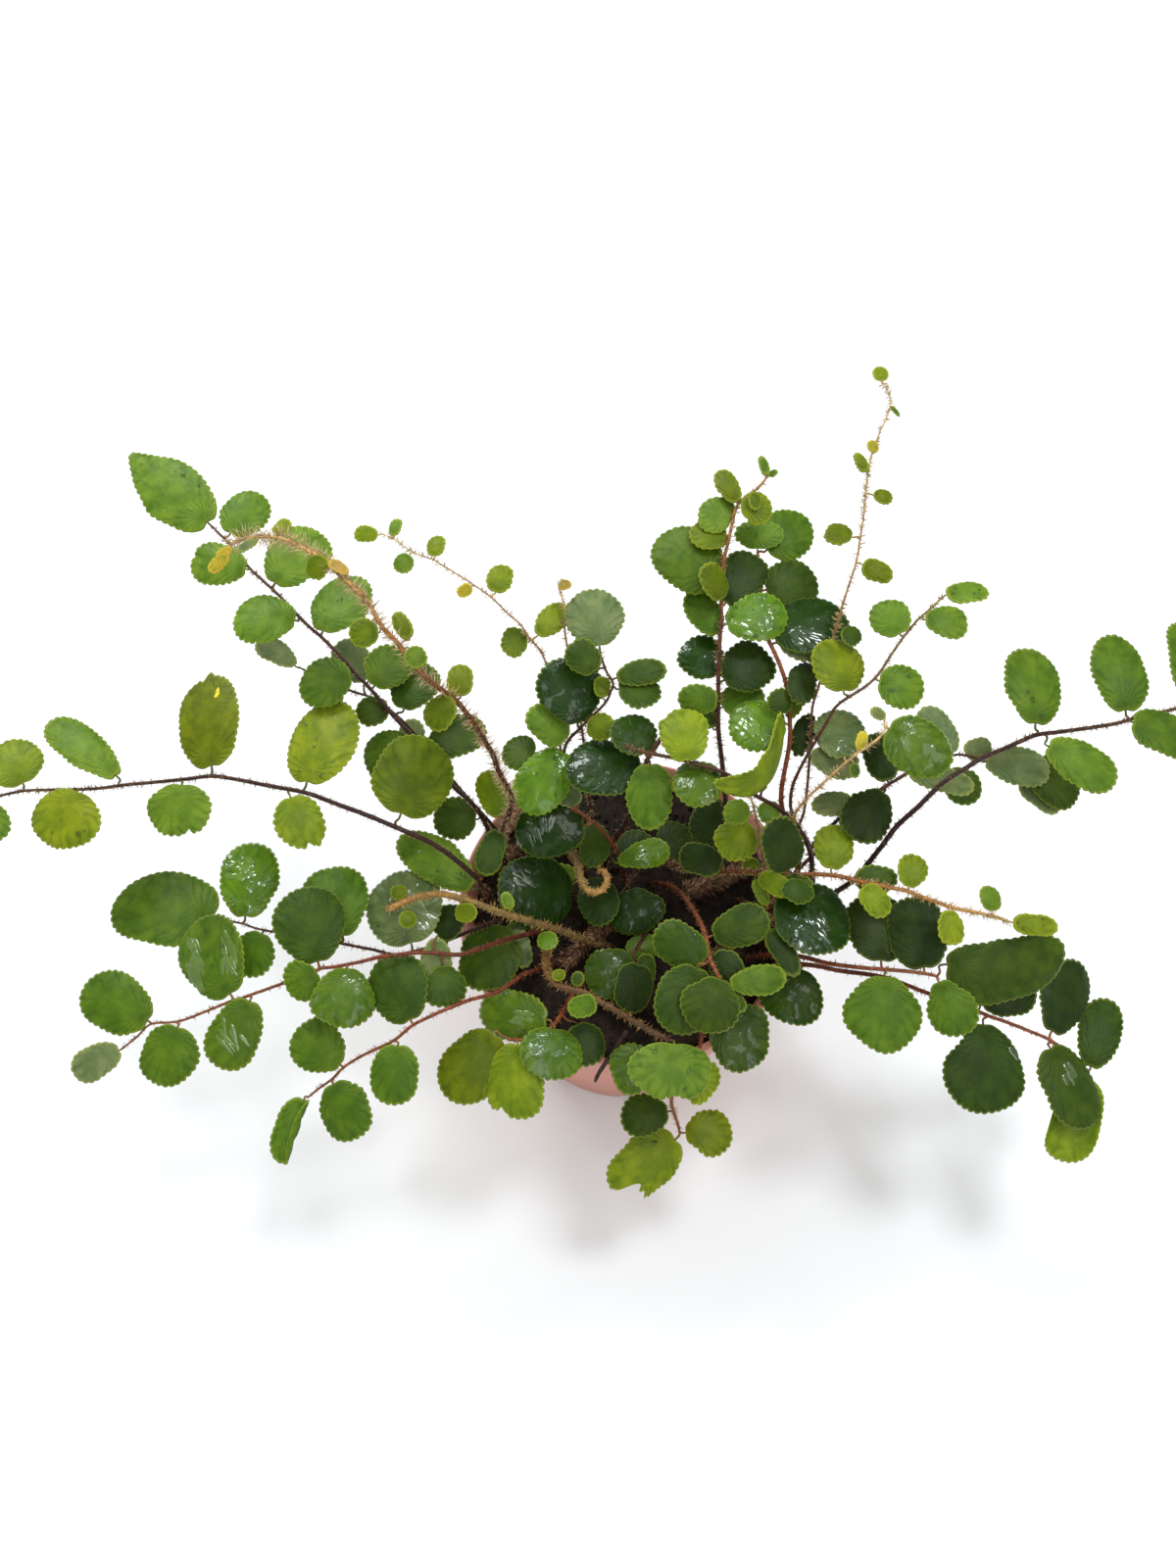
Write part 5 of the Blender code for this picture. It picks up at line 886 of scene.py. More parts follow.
def outline(leaf, rng, nips=()):
    """The margin of a blade as (share along, share across), with its scallops, equally spaced along the margin."""
    dense = 720
    turn = np.linspace(0, 2 * np.pi, dense, endpoint=False)
    t = 0.5 - 0.5 * np.cos(turn)
    sign = np.where(np.sin(turn) >= 0, 1.0, -1.0)
    wide = np.array([breadth(min(max(x, 0.0), 1.0), leaf.oblong) for x in t])
    egg = 0.22 * rng.uniform(-1, 1) - 0.02
    left, right = 1 + 0.05 * rng.uniform(-1, 1), 1 + 0.05 * rng.uniform(-1, 1)
    wide = wide * (1 + egg * (t - 0.5))
    wedge = rng.uniform(0.08, 0.34) if leaf.half > 3.0 and not leaf.habit else 0.05
    wide = wide * (1 - wedge * (1 - smooth(t, 0.02, 0.50)) + 0.10 * wedge * smooth(t, 0.45, 0.75))
    if "point" in leaf.habit:
        wide = wide * (1.0 + 0.10 * smooth(t, 0.0, 0.35) - 0.62 * smooth(t, 0.42, 1.0))
    if "wide" in leaf.habit:
        wide = wide * (0.94 + 0.04 * np.sin(np.pi * t))
    if "half" in leaf.habit:
        left, right = 1.2, 0.45
    across = wide * sign * np.where(sign > 0, right, left)
    # The blade is cut square or slightly heart-shaped where its stalk joins it.
    notch = 0.035 if leaf.half > 3.0 else 0.02
    t = t + notch * np.exp(-(across / 0.2) ** 2) * (t < 0.3)
    x, y = across * leaf.half, t * leaf.long
    if "wide" in leaf.habit:
        y = y - 0.13 * leaf.long * np.exp(-((across - 0.05) / 0.24) ** 2) * (t > 0.6)
    step = np.hypot(np.diff(x, append=x[0]), np.diff(y, append=y[0]))
    length = step.sum()
    teeth = int(min(38, max(13, round(length / SCALLOP))))
    n = teeth * PER_SCALLOP
    along = np.concatenate([[0], np.cumsum(step)[:-1]])
    want = length * np.arange(n) / n
    x = np.interp(want, np.append(along, length), np.append(x, x[0]))
    y = np.interp(want, np.append(along, length), np.append(y, y[0]))
    phase = np.arange(n) / PER_SCALLOP
    tooth = np.abs(np.sin(np.pi * phase)) ** 0.75
    size = rng.uniform(0.60, 1.15, teeth)
    size = size[(np.arange(n) // PER_SCALLOP) % teeth]
    young = 0.45 if leaf.half < 3.0 else 0.70 if leaf.half < 5.0 else 1.0
    fade = smooth(y / leaf.long, 0.03, 0.2)
    tx, ty = np.roll(x, -1) - np.roll(x, 1), np.roll(y, -1) - np.roll(y, 1)
    norm = np.hypot(tx, ty) + 1e-9
    nx, ny = ty / norm, -tx / norm
    outwards = np.sign((nx * x + ny * (y - MID_T * leaf.long)).sum())
    # The margin wanders a little from a smooth curve.
    polar = np.arctan2(y - MID_T * leaf.long, x)
    wander = sum(rng.uniform(-1, 1) * 0.026 * np.cos(k * polar + rng.uniform(0, 6.3)) for k in (2, 3, 4, 5)) * leaf.half
    depth = (DEPTH * young * size * (tooth - 0.62) * fade + wander * fade) * outwards
    x, y = x + nx * depth, y + ny * depth
    if "bite" in leaf.habit:
        for at, far, deep in ((0.35, 0.24, 0.30), (0.7, 0.14, 0.16)):
            cut = np.exp(-((x / leaf.half - at) / far) ** 2) * (y > 0.55 * leaf.long)
            y = y - deep * leaf.long * cut
    for at, far, deep in nips:
        y = y - deep * leaf.long * np.exp(-((x / leaf.half - at) / far) ** 2) * (y > 0.55 * leaf.long)
    return y / leaf.long, x / leaf.half


class Sheet:
    """The middle surface of a blade, bent as its leaflet grew."""

    def __init__(self, leaf, rng):
        self.leaf = leaf
        self.foot, self.axis, self.side, self.front = vec(leaf.foot), vec(leaf.axis), vec(leaf.side), vec(leaf.front)
        self.droop = rng.uniform(0.03, 0.15)
        self.fold = rng.uniform(-0.02, 0.07)
        self.tilt = rng.uniform(-0.03, 0.03)
        self.waves = [(k, rng.uniform(0.008, 0.022), rng.uniform(0, 6.3)) for k in (2, 3, 5)]
        self.tip = rng.uniform(-0.02, 0.08)

    def at(self, t, a, raised=0.0):
        leaf = self.leaf
        t, a = np.asarray(t, float), np.asarray(a, float)
        rim = np.sqrt(np.clip(((t - MID_T) / 0.54) ** 2 + a * a, 0, 2))
        sag = leaf.arch * 4 * t * (1 - t) - 0.05 * leaf.half * a * a
        sag = sag - self.droop * leaf.half * a * a - self.fold * leaf.half * (0.4 - np.abs(a)) * (np.abs(a) < 0.4)
        sag = sag + self.tilt * leaf.half * a - self.tip * leaf.half * smooth(t, 0.6, 1.0)
        polar = np.arctan2(t - MID_T, a)
        for k, size, turn in self.waves:
            sag = sag + size * leaf.half * np.sin(k * polar + turn) * rim * rim
        along, across = t * leaf.long, a * leaf.half
        if "boat" in leaf.habit:
            along = along + 0.9 * a * a * leaf.long
        if "curl" in leaf.habit:
            across = across * (1 - 0.22 * a * a)
            sag = sag + 0.45 * leaf.half * a * a
        if "fold" in leaf.habit:
            over = np.clip(a - 0.30, 0, None)
            across = across - 1.55 * over * leaf.half
            sag = sag + leaf.half * (0.22 * smooth(over, 0.0, 0.25) + 0.10 * over)
        shape = np.shape(sag + raised)
        point = self.foot + self.axis * np.broadcast_to(along, shape)[..., None] \
            + self.side * np.broadcast_to(across, shape)[..., None] + self.front * (sag + raised)[..., None]
        return point


def zipper(outer, n, inner, m, flip):
    """Triangles between a ring of n points that starts at outer and one of m that starts at inner, both turning alike."""
    faces, i, j = [], 0, 0
    while i < n or j < m:
        if j >= m or (i < n and (i + 1) / n <= (j + 1) / m):
            face = (outer + i, outer + (i + 1) % n, inner + j % m)
            i += 1
        else:
            face = (outer + i % n, inner + (j + 1) % m, inner + j)
            j += 1
        faces.append(face[::-1] if flip else face)
    return faces


def band(outer, inner, n, flip):
    faces = []
    for i in range(n):
        j = (i + 1) % n
        face = (outer + i, outer + j, inner + j, inner + i)
        faces.append(face[::-1] if flip else face)
    return faces


def add_blade(shape, leaf, name, rng):
    """One leaflet as a thin closed body with a rounded, scalloped margin."""
    t, a = outline(leaf, rng, NIPS.get((name, leaf.number), ()))
    n, m, b = len(t), 36, 24
    sheet = Sheet(leaf, rng)
    area = float(np.sum((a * leaf.half) * np.roll(t * leaf.long, -1) - np.roll(a * leaf.half, -1) * (t * leaf.long)))
    # Seen from the front, with side to the right and the axis up, a margin of positive area turns to the left.
    flip = area < 0
    points, spots, under = [], [], []

    def ring(q, count, raised, below):
        if count == n:
            tt, aa = t, a
        else:
            pick = np.arange(count) * n / count
            tt = np.interp(pick, np.arange(n + 1), np.append(t_even, t_even[0]))
            aa = np.interp(pick, np.arange(n + 1), np.append(a_even, a_even[0]))
        tt, aa = MID_T + q * (tt - MID_T), q * aa
        start = sum(len(p) for p in points)
        points.append(sheet.at(tt, aa, np.full(count, raised)))
        spots.append(np.column_stack([aa * leaf.half, tt * leaf.long, np.full(count, q)]))
        under.append(np.full(count, below))
        return start

    # Inner rings follow the margin without its scallops.
    kernel = np.ones(PER_SCALLOP * 2 + 1) / (PER_SCALLOP * 2 + 1)
    wrap = len(kernel) // 2
    t_even = np.convolve(np.concatenate([t[-wrap:], t, t[:wrap]]), kernel, "valid")
    a_even = np.convolve(np.concatenate([a[-wrap:], a, a[:wrap]]), kernel, "valid")
    rim_q = 1 - min(0.06, 0.42 / leaf.half)
    top_mid = ring(0.0, 1, BLADE, 0.0)
    top_a, top_b = ring(0.30, m, BLADE, 0.0), ring(0.60, m, BLADE, 0.0)
    top_c, top_d = ring(0.82, n, BLADE, 0.0), ring(rim_q, n, BLADE * 0.95, 0.0)
    edge = ring(1.0, n, -0.02, 0.5)
    low_d = ring(rim_q, n, -BLADE, 1.0)
    low_a = ring(0.55, b, -BLADE, 1.0)
    low_mid = ring(0.0, 1, -BLADE, 1.0)
    faces = []
    for i in range(m):
        face = (top_a + i, top_a + (i + 1) % m, top_mid)
        faces.append(face[::-1] if flip else face)
    faces += band(top_b, top_a, m, flip) + zipper(top_c, n, top_b, m, flip)
    faces += band(top_d, top_c, n, flip) + band(edge, top_d, n, flip)
    faces += band(edge, low_d, n, not flip) + zipper(low_d, n, low_a, b, not flip)
    for i in range(b):
        face = (low_a + i, low_a + (i + 1) % b, low_mid)
        faces.append(face if flip else face[::-1])
    tone = np.array(TONES[leaf.tone]) * (1 + 0.10 * rng.uniform(-1, 1))
    tone = tone * np.array([1 + 0.07 * rng.uniform(-1, 1), 1.0, 1 + 0.12 * rng.uniform(-1, 1)])
    wet = leaf.tone in "ws" or (name, leaf.number) in WET
    seed = rng.uniform(0, 100)
    total = sum(len(p) for p in points)
    look = np.column_stack([np.full(total, seed), np.concatenate(under), np.full(total, max(leaf.half, 1.0))])
    shape.add(np.concatenate(points), faces, tone, np.concatenate(spots), look, 1 if wet else 0)
    return sheet


def add_tube(shape, path, radii, colours, sides, slot, seed=0.0, lumps=0.0, rng=None):
    """A closed tube along the path, with its rings turned as little as they can be."""
    path = [Vector(p) for p in path]
    ways = [(path[min(i + 1, len(path) - 1)] - path[max(i - 1, 0)]).normalized() for i in range(len(path))]
    side = ways[0].orthogonal().normalized()
    rings = []
    for p, way, r in zip(path, ways, radii):
        side = (side - way * side.dot(way)).normalized()
        other = way.cross(side)
        for k in range(sides):
            a = 2 * math.pi * k / sides
            rr = r * (1 + (lumps * rng.uniform(-1, 1) if lumps else 0.0))
            rings.append(p + side * (rr * math.cos(a)) + other * (rr * math.sin(a)))
    faces = []
    for i in range(len(path) - 1):
        for k in range(sides):
            m = (k + 1) % sides
            faces.append((i * sides + k, i * sides + m, (i + 1) * sides + m, (i + 1) * sides + k))
    faces.append(tuple(reversed(range(sides))))
    faces.append(tuple((len(path) - 1) * sides + k for k in range(sides)))
    tone = np.repeat(np.asarray(colours, float), sides, axis=0)
    along = np.concatenate([[0], np.cumsum([(b - a).length for a, b in zip(path, path[1:])])])
    spot = np.column_stack([np.tile(np.arange(sides) / sides, len(path)), np.repeat(along, sides),
                            np.zeros(len(path) * sides)])
    shape.add([p[:] for p in rings], faces, tone, spot, (seed, 0.0, 1.0), slot)


def stem_colour(kind, share):
    row = STEMS[kind]
    for (a, ca), (b, cb) in zip(row, row[1:]):
        if share <= b:
            f = (share - a) / (b - a)
            return np.array(ca) * (1 - f) + np.array(cb) * f
    return np.array(row[-1][1])


def add_hairs(shape, stem, kind, rng, low=0.0, more=1.0, long=1.0, slot=2):
    """Soft curved hairs and narrow scales that stand out from a stem."""
    rate, short, far, colour = HAIRS[kind]
    count = int((stem.length - low) * rate * more)
    rows, faces, tones = [], [], []
    for _ in range(count):
        s = rng.uniform(low, stem.length)
        share = s / stem.length
        t, side, front = frame_at(stem, s)
        a = rng.uniform(0, 2 * math.pi)
        out = side * math.cos(a) + front * math.sin(a)
        r = stem.radius(s)
        root = stem.place(s) + out * (r * 0.8)
        size = rng.uniform(short, far) * long
        if kind == "o":
            size *= 0.45 + 0.55 * min(1.0, share / 0.4)
        if kind == "o" and share > 0.84:
            size *= rng.uniform(1.0, 1.6)
        way = (out + t * rng.uniform(-0.1, 0.7)).normalized()
        curl = (t * rng.uniform(-0.9, 0.9) + out.cross(t) * rng.uniform(-0.9, 0.9)) * 0.5
        mid = root + way * (size * 0.55)
        tip = mid + (way + curl).normalized() * (size * 0.5)
        w = rng.uniform(0.040, 0.085) * (1.6 if rng.random() < 0.15 else 1.0)
        across = way.orthogonal().normalized()
        other = way.cross(across)
        base = len(rows)
        for centre, width in ((root, w * 1.4), (mid, w)):
            for k in range(3):
                b = 2 * math.pi * k / 3
                rows.append((centre + across * (width * math.cos(b)) + other * (width * math.sin(b)))[:])
        rows.append(tip[:])
        faces.append((base + 2, base + 1, base))
        for k in range(3):
            m = (k + 1) % 3
            faces.append((base + k, base + m, base + 3 + m, base + 3 + k))
            faces.append((base + 3 + k, base + 3 + m, base + 6))
        shade = np.array(colour) * rng.uniform(0.6, 1.2)
        if kind in "og" and share < 0.45:
            shade = shade * (0.55 + share)
        if kind == "h":
            shade = shade * (1.25 - 0.5 * share)
        tones += [shade] * 7
    if rows:
        shape.add(rows, faces, np.array(tones), None, (0.0, 0.0, 1.0), slot)


def add_drops(shape, sheet, leaf, count, rng):
    """Drops of water lying on a blade, most of them near its margin."""
    for _ in range(count):
        turn = rng.uniform(0, 2 * math.pi)
        q = rng.uniform(0.62, 0.86) if rng.random() < 0.7 else rng.uniform(0.1, 0.6)
        a = math.sin(turn) * q * 0.94
        t = MID_T + math.cos(turn) * q * 0.46
        size = rng.uniform(0.26, 0.52) * (1.4 if rng.random() < 0.3 else 1.0)
        size = min(size, leaf.half * 0.13)
        middle = sheet.at(t, a, 0.0)
        dt, da = 0.02, 0.02
        u = sheet.at(t + dt, a, 0.0) - sheet.at(t - dt, a, 0.0)
        v = sheet.at(t, a + da, 0.0) - sheet.at(t, a - da, 0.0)
        up = np.cross(v, u)
        up = up / (np.linalg.norm(up) + 1e-9)
        if up @ sheet.front < 0:
            up = -up
        u = u / np.linalg.norm(u)
        v = np.cross(up, u)
        stretch = rng.uniform(1.0, 1.5)
        rows = [middle + up * (BLADE - 0.06)]
        sides = 12
        levels = ((1.0, 0.0), (0.97, 0.22), (0.80, 0.46), (0.45, 0.62))
        for wide, high in levels:
            for k in range(sides):
                b = 2 * math.pi * k / sides
                rows.append(middle + up * (BLADE - 0.05 + size * high) + u * (size * wide * stretch * math.cos(b))
                            + v * (size * wide * math.sin(b)))
        rows.append(middle + up * (BLADE - 0.05 + size * 0.66))
        faces = []
        for k in range(sides):
            m = (k + 1) % sides
            faces.append((0, 1 + m, 1 + k))
            for i in range(len(levels) - 1):
                p, r = 1 + i * sides, 1 + (i + 1) * sides
                faces.append((p + k, p + m, r + m, r + k))
            top = 1 + (len(levels) - 1) * sides
            faces.append((top + k, top + m, len(rows) - 1))
        shape.add(rows, faces, (1.0, 1.0, 1.0), None, (0.0, 0.0, 1.0), 0)


def add_ridge(shape, sheet, spec, middle, long, thin, turn, high, tone, slot):
    """A low rounded ridge that follows the blade, its place and size given in the units of the leaflet's row."""
    x0, y0, x1, y1, broad = spec[:5]
    length = math.hypot(x1 - x0, y1 - y0)
    ux, uy = (x1 - x0) / length, (y1 - y0) / length
    sides, levels = 14, ((1.0, 0.0), (0.93, 0.35), (0.72, 0.72), (0.38, 0.95))
    c, s = math.cos(turn), math.sin(turn)
    ts, across, rise = [], [], []

    def lay(dx, dy, up):
        x, y = middle[0] + dx - x0, middle[1] + dy - y0
        ts.append((x * ux + y * uy) / length)
        across.append((x * uy - y * ux) / (broad / 2))
        rise.append(up)

    lay(0.0, 0.0, -0.03)
    for wide, up in levels:
        for k in range(sides):
            b = 2 * math.pi * k / sides
            dx, dy = long * wide * math.cos(b), thin * wide * math.sin(b) * (1 + 0.25 * math.sin(3 * b + turn))
            lay(dx * c - dy * s, dx * s + dy * c, -0.02 + high * up)
    lay(0.0, 0.0, high)
    ts, across = np.array(ts), np.array(across)
    if ts.min() < 0.06 or ts.max() > 0.95 or (np.hypot((ts - MID_T) / 0.54, across) > 0.93).any():
        return
    rows = sheet.at(ts, across, BLADE + np.array(rise))
    turned = np.cross(rows[1] - rows[0], rows[2] - rows[0]) @ sheet.front > 0
    faces = []
    for k in range(sides):
        m = (k + 1) % sides
        faces.append((0, 1 + m, 1 + k))
        for i in range(len(levels) - 1):
            p, r = 1 + i * sides, 1 + (i + 1) * sides
            faces.append((p + k, p + m, r + m, r + k))
        top = 1 + (len(levels) - 1) * sides
        faces.append((top + k, top + m, len(rows) - 1))
    if not turned:
        faces = [face[::-1] for face in faces]
    shape.add(rows, faces, tone, None, (0.0, 0.0, 1.0), slot)


def add_film(shape, sheet, leaf, spec, patch, rng):
    """Broken ridges of standing water within a patch of the blade."""
    x, y, wide, high, count, heading = patch
    tone = np.array(TONES[leaf.tone]) * 0.9
    for _ in range(int(count * 1.5)):
        dx, dy = rng.uniform(-0.5, 0.5), rng.uniform(-0.5, 0.5)
        long = rng.uniform(0.14, 0.40) * max(wide, high)
        turn = math.radians(heading + rng.uniform(-22, 22))
        add_ridge(shape, sheet, spec, (x + dx * wide * 0.8, y + dy * high * 0.8), long, rng.uniform(1.4, 3.8), turn,
                  rng.uniform(0.10, 0.20), tone, 4)


def add_stalk(shape, leaf, sheet, kind, rng):
    """The short stalk from the stem to the square foot of the blade."""
    start = leaf.stem.place(leaf.at)
    foot = Vector(sheet.at(0.075, 0.0, -0.05))
    lead = Vector(sheet.at(-0.02, 0.0, -0.02))
    way = leaf.stem.heading(leaf.at)
    bow = start.lerp(lead, 0.5) + way * (0.18 * (lead - start).length)
    knots = [start, bow, lead, foot]
    if (lead - start).length < 0.8:
        knots = [start, lead, foot]
    path = bend([Vector(k) for k in knots], 0.5)
    n = len(path)
    share = leaf.at / max(leaf.stem.length, 1.0)
    first = stem_colour(kind, share) * 1.15
    green = np.array(TONES[leaf.tone]) * 1.05
    colours = [first * (1 - f) + green * f for f in np.linspace(0, 1, n) ** 1.5]
    thick = min(0.34, 0.2 + 0.02 * leaf.half)
    radii = [thick * (1.25 if i == 0 else 1.0 - 0.25 * i / n) for i in range(n)]
    radii[-1] *= 0.5
    add_tube(shape, path, radii, colours, 6, 2, rng.uniform(0, 50))


# ---------------------------------------------------------------- materials

def material(name):
    made = bpy.data.materials.new(name)
    made.use_nodes = True
    tree = made.node_tree
    return made, tree, tree.nodes["Principled BSDF"]


def link(tree, a, b):
    tree.links.new(a, b)


def add(tree, kind, **values):
    n = tree.nodes.new(kind)
    for key, value in values.items():
        setattr(n, key, value)
    return n


def sums(tree, operation, a, b=None, c=None, clamp=False):
    n = add(tree, "ShaderNodeMath", operation=operation, use_clamp=clamp)
    for i, value in enumerate((a, b, c)):
        if value is None:
            continue
        if hasattr(value, "is_linked"):
            link(tree, value, n.inputs[i])
        else:
            n.inputs[i].default_value = value
    return n.outputs[0]


def blend_colour(tree, share, a, b, how="MIX"):
    n = add(tree, "ShaderNodeMix", data_type="RGBA", blend_type=how)
    for socket, value in ((n.inputs[0], share), (n.inputs[6], a), (n.inputs[7], b)):
        if hasattr(value, "is_linked"):
            link(tree, value, socket)
        else:
            socket.default_value = value
    return n.outputs[2]


def ramp(tree, value, low, high, to_low=0.0, to_high=1.0):
    n = add(tree, "ShaderNodeMapRange", interpolation_type="SMOOTHSTEP")
    link(tree, value, n.inputs["Value"])
    n.inputs["From Min"].default_value = low
    n.inputs["From Max"].default_value = high
    n.inputs["To Min"].default_value = to_low
    n.inputs["To Max"].default_value = to_high
    return n.outputs["Result"]


def noise(tree, vector, scale, detail=2.0, rough=0.5, distort=0.0):
    n = add(tree, "ShaderNodeTexNoise")
    link(tree, vector, n.inputs["Vector"])
    n.inputs["Scale"].default_value = scale
    n.inputs["Detail"].default_value = detail
    n.inputs["Roughness"].default_value = rough
    n.inputs["Distortion"].default_value = distort
    return n.outputs["Fac"]


def bump(tree, height, strength, distance, before=None):
    n = add(tree, "ShaderNodeBump")
    n.inputs["Strength"].default_value = strength
    n.inputs["Distance"].default_value = distance
    link(tree, height, n.inputs["Height"])
    if before is not None:
        link(tree, before, n.inputs["Normal"])
    return n.outputs["Normal"]


def leaf_material(name, wet):
    made, tree, shader = material(name)
    tone = add(tree, "ShaderNodeAttribute", attribute_name="tone").outputs["Color"]
    spot = add(tree, "ShaderNodeSeparateXYZ")
    link(tree, add(tree, "ShaderNodeAttribute", attribute_name="spot").outputs["Vector"], spot.inputs[0])
    look = add(tree, "ShaderNodeSeparateXYZ")
    link(tree, add(tree, "ShaderNodeAttribute", attribute_name="look").outputs["Vector"], look.inputs[0])
    across, along, reach = spot.outputs
    seed, under, half = look.outputs
    place = add(tree, "ShaderNodeCombineXYZ")
    link(tree, across, place.inputs[0])
    link(tree, along, place.inputs[1])
    link(tree, seed, place.inputs[2])
    place = place.outputs[0]
    # Veins fan out from the lower midrib to the margin.
    root_y = sums(tree, "SUBTRACT", along, sums(tree, "MULTIPLY", half, 0.35))
    angle = sums(tree, "ARCTAN2", across, root_y)
    bent = sums(tree, "ADD", angle, sums(tree, "MULTIPLY", noise(tree, place, 0.35, 1.0), 0.35))
    veins = sums(tree, "SINE", sums(tree, "MULTIPLY", bent, 22.0))
    veins = sums(tree, "MULTIPLY", sums(tree, "ADD", veins, 1.0), 0.5)
    vein_line = sums(tree, "POWER", veins, 3.0)
    outer = ramp(tree, reach, 0.25, 0.9)
    vein_line = sums(tree, "MULTIPLY", vein_line, outer)
    midrib = ramp(tree, sums(tree, "ABSOLUTE", across), 0.08, 0.55, 1.0, 0.0)
    midrib = sums(tree, "MULTIPLY", midrib, ramp(tree, reach, 0.55, 0.95, 1.0, 0.0))
    coarse = noise(tree, place, 0.22, 3.0, 0.55)
    fine = noise(tree, place, 1.6, 3.0, 0.6)
    colour = blend_colour(tree, ramp(tree, coarse, 0.34, 0.68), blend_colour(tree, 1.0, tone, (0.74, 0.82, 0.72, 1), "MULTIPLY"),
                          blend_colour(tree, 1.0, tone, (1.22, 1.16, 1.10, 1), "MULTIPLY"))
    colour = blend_colour(tree, ramp(tree, fine, 0.35, 0.75, 0.0, 0.30), colour, (0.62, 0.70, 0.60, 1), "MULTIPLY")
    colour = blend_colour(tree, sums(tree, "MULTIPLY", vein_line, 0.50), colour, (0.42, 0.52, 0.38, 1), "MULTIPLY")
    colour = blend_colour(tree, sums(tree, "MULTIPLY", midrib, 0.22), colour, (1.35, 1.25, 1.0, 1), "MULTIPLY")
    # The middle is deeper in colour than the rim of the blade, and the very margin is pale: a painted glow of light
    # through the thin edge.
    colour = blend_colour(tree, ramp(tree, reach, 0.2, 0.95, 0.24, 0.0), colour, (0.55, 0.66, 0.55, 1), "MULTIPLY")
    pale = blend_colour(tree, 0.45, blend_colour(tree, 1.0, tone, (2.0, 1.65, 1.3, 1), "MULTIPLY"), (0.29, 0.36, 0.045, 1))
    rim = ramp(tree, sums(tree, "MULTIPLY", sums(tree, "SUBTRACT", 1.0, reach), half), 0.10, 0.55, 0.85, 0.0)
    colour = blend_colour(tree, rim, colour, pale)
    below = blend_colour(tree, 0.55, colour, (0.16, 0.22, 0.10, 1))
    colour = blend_colour(tree, ramp(tree, under, 0.55, 0.95), colour, below)
    link(tree, colour, shader.inputs["Base Color"])
    rough = ramp(tree, fine, 0.3, 0.8, 0.30 if wet else 0.40, 0.42 if wet else 0.56)
    link(tree, rough, shader.inputs["Roughness"])
    shader.inputs["Specular IOR Level"].default_value = 0.14 if wet else 0.14
    shader.inputs["Subsurface Weight"].default_value = 0.10
    shader.inputs["Subsurface Radius"].default_value = (0.7, 1.0, 0.25)
    shader.inputs["Subsurface Scale"].default_value = 0.0006
    if wet:
        film = ramp(tree, noise(tree, place, 0.30, 2.0, 0.5, 0.4), 0.52, 0.60)
        link(tree, sums(tree, "MULTIPLY", film, 0.9), shader.inputs["Coat Weight"])
        shader.inputs["Coat Roughness"].default_value = 0.05
        shader.inputs["Coat IOR"].default_value = 1.45
    else:
        shader.inputs["Coat Weight"].default_value = 0.0
    relief = bump(tree, vein_line, 0.55, 0.00018)
    relief = bump(tree, coarse, 0.5, 0.0006, relief)
    relief = bump(tree, fine, 0.30, 0.00012, relief)
    link(tree, relief, shader.inputs["Normal"])
    if wet:
        water = bump(tree, noise(tree, place, 0.60, 1.5, 0.45, 0.6), 0.42, 0.0008, None)
        link(tree, water, shader.inputs["Coat Normal"])
    return made


def film_material():
    made, tree, shader = material("leaf_water_film_with_painted_sheen")
    tone = add(tree, "ShaderNodeAttribute", attribute_name="tone").outputs["Color"]
    where = add(tree, "ShaderNodeTexCoord").outputs["Object"]
    ripple = noise(tree, where, 420.0, 2.0, 0.5)
    # Where the ripples rise, the film's colour is brightened and blued as a painted sheen of the water.
    colour = blend_colour(tree, ramp(tree, ripple, 0.35, 0.7), tone, (1.3, 1.3, 1.4, 1), "MULTIPLY")
    link(tree, colour, shader.inputs["Base Color"])
    link(tree, ramp(tree, ripple, 0.3, 0.7, 0.22, 0.34), shader.inputs["Roughness"])
    shader.inputs["Specular IOR Level"].default_value = 0.30
    shader.inputs["Coat Weight"].default_value = 1.0
    shader.inputs["Coat Roughness"].default_value = 0.03
    shader.inputs["Coat IOR"].default_value = 1.65
    link(tree, bump(tree, ripple, 0.35, 0.0004), shader.inputs["Coat Normal"])
    return made


def stem_material():
    made, tree, shader = material("fern_stem")
    tone = add(tree, "ShaderNodeAttribute", attribute_name="tone").outputs["Color"]
    where = add(tree, "ShaderNodeTexCoord").outputs["Object"]
    streak = noise(tree, where, 900.0, 3.0, 0.6)
    patch = noise(tree, where, 160.0, 2.0, 0.5)
    colour = blend_colour(tree, ramp(tree, streak, 0.35, 0.7), blend_colour(tree, 1.0, tone, (0.6, 0.6, 0.62, 1), "MULTIPLY"),
                          blend_colour(tree, 1.0, tone, (1.35, 1.25, 1.15, 1), "MULTIPLY"))
    colour = blend_colour(tree, ramp(tree, patch, 0.35, 0.7, 0.0, 0.35), colour, (1.5, 1.1, 0.8, 1), "MULTIPLY")
    link(tree, colour, shader.inputs["Base Color"])
    link(tree, ramp(tree, streak, 0.3, 0.8, 0.38, 0.6), shader.inputs["Roughness"])
    shader.inputs["Specular IOR Level"].default_value = 0.22
    link(tree, bump(tree, streak, 0.5, 0.00015), shader.inputs["Normal"])
    return made


def hair_material():
    made, tree, shader = material("fern_hair")
    tone = add(tree, "ShaderNodeAttribute", attribute_name="tone").outputs["Color"]
    where = add(tree, "ShaderNodeTexCoord").outputs["Object"]
    colour = blend_colour(tree, ramp(tree, noise(tree, where, 1200.0), 0.3, 0.7, 0.0, 0.5), tone, (0.7, 0.6, 0.5, 1), "MULTIPLY")
    link(tree, colour, shader.inputs["Base Color"])
    shader.inputs["Roughness"].default_value = 0.6
    shader.inputs["Specular IOR Level"].default_value = 0.25
    shader.inputs["Subsurface Weight"].default_value = 0.0
    return made


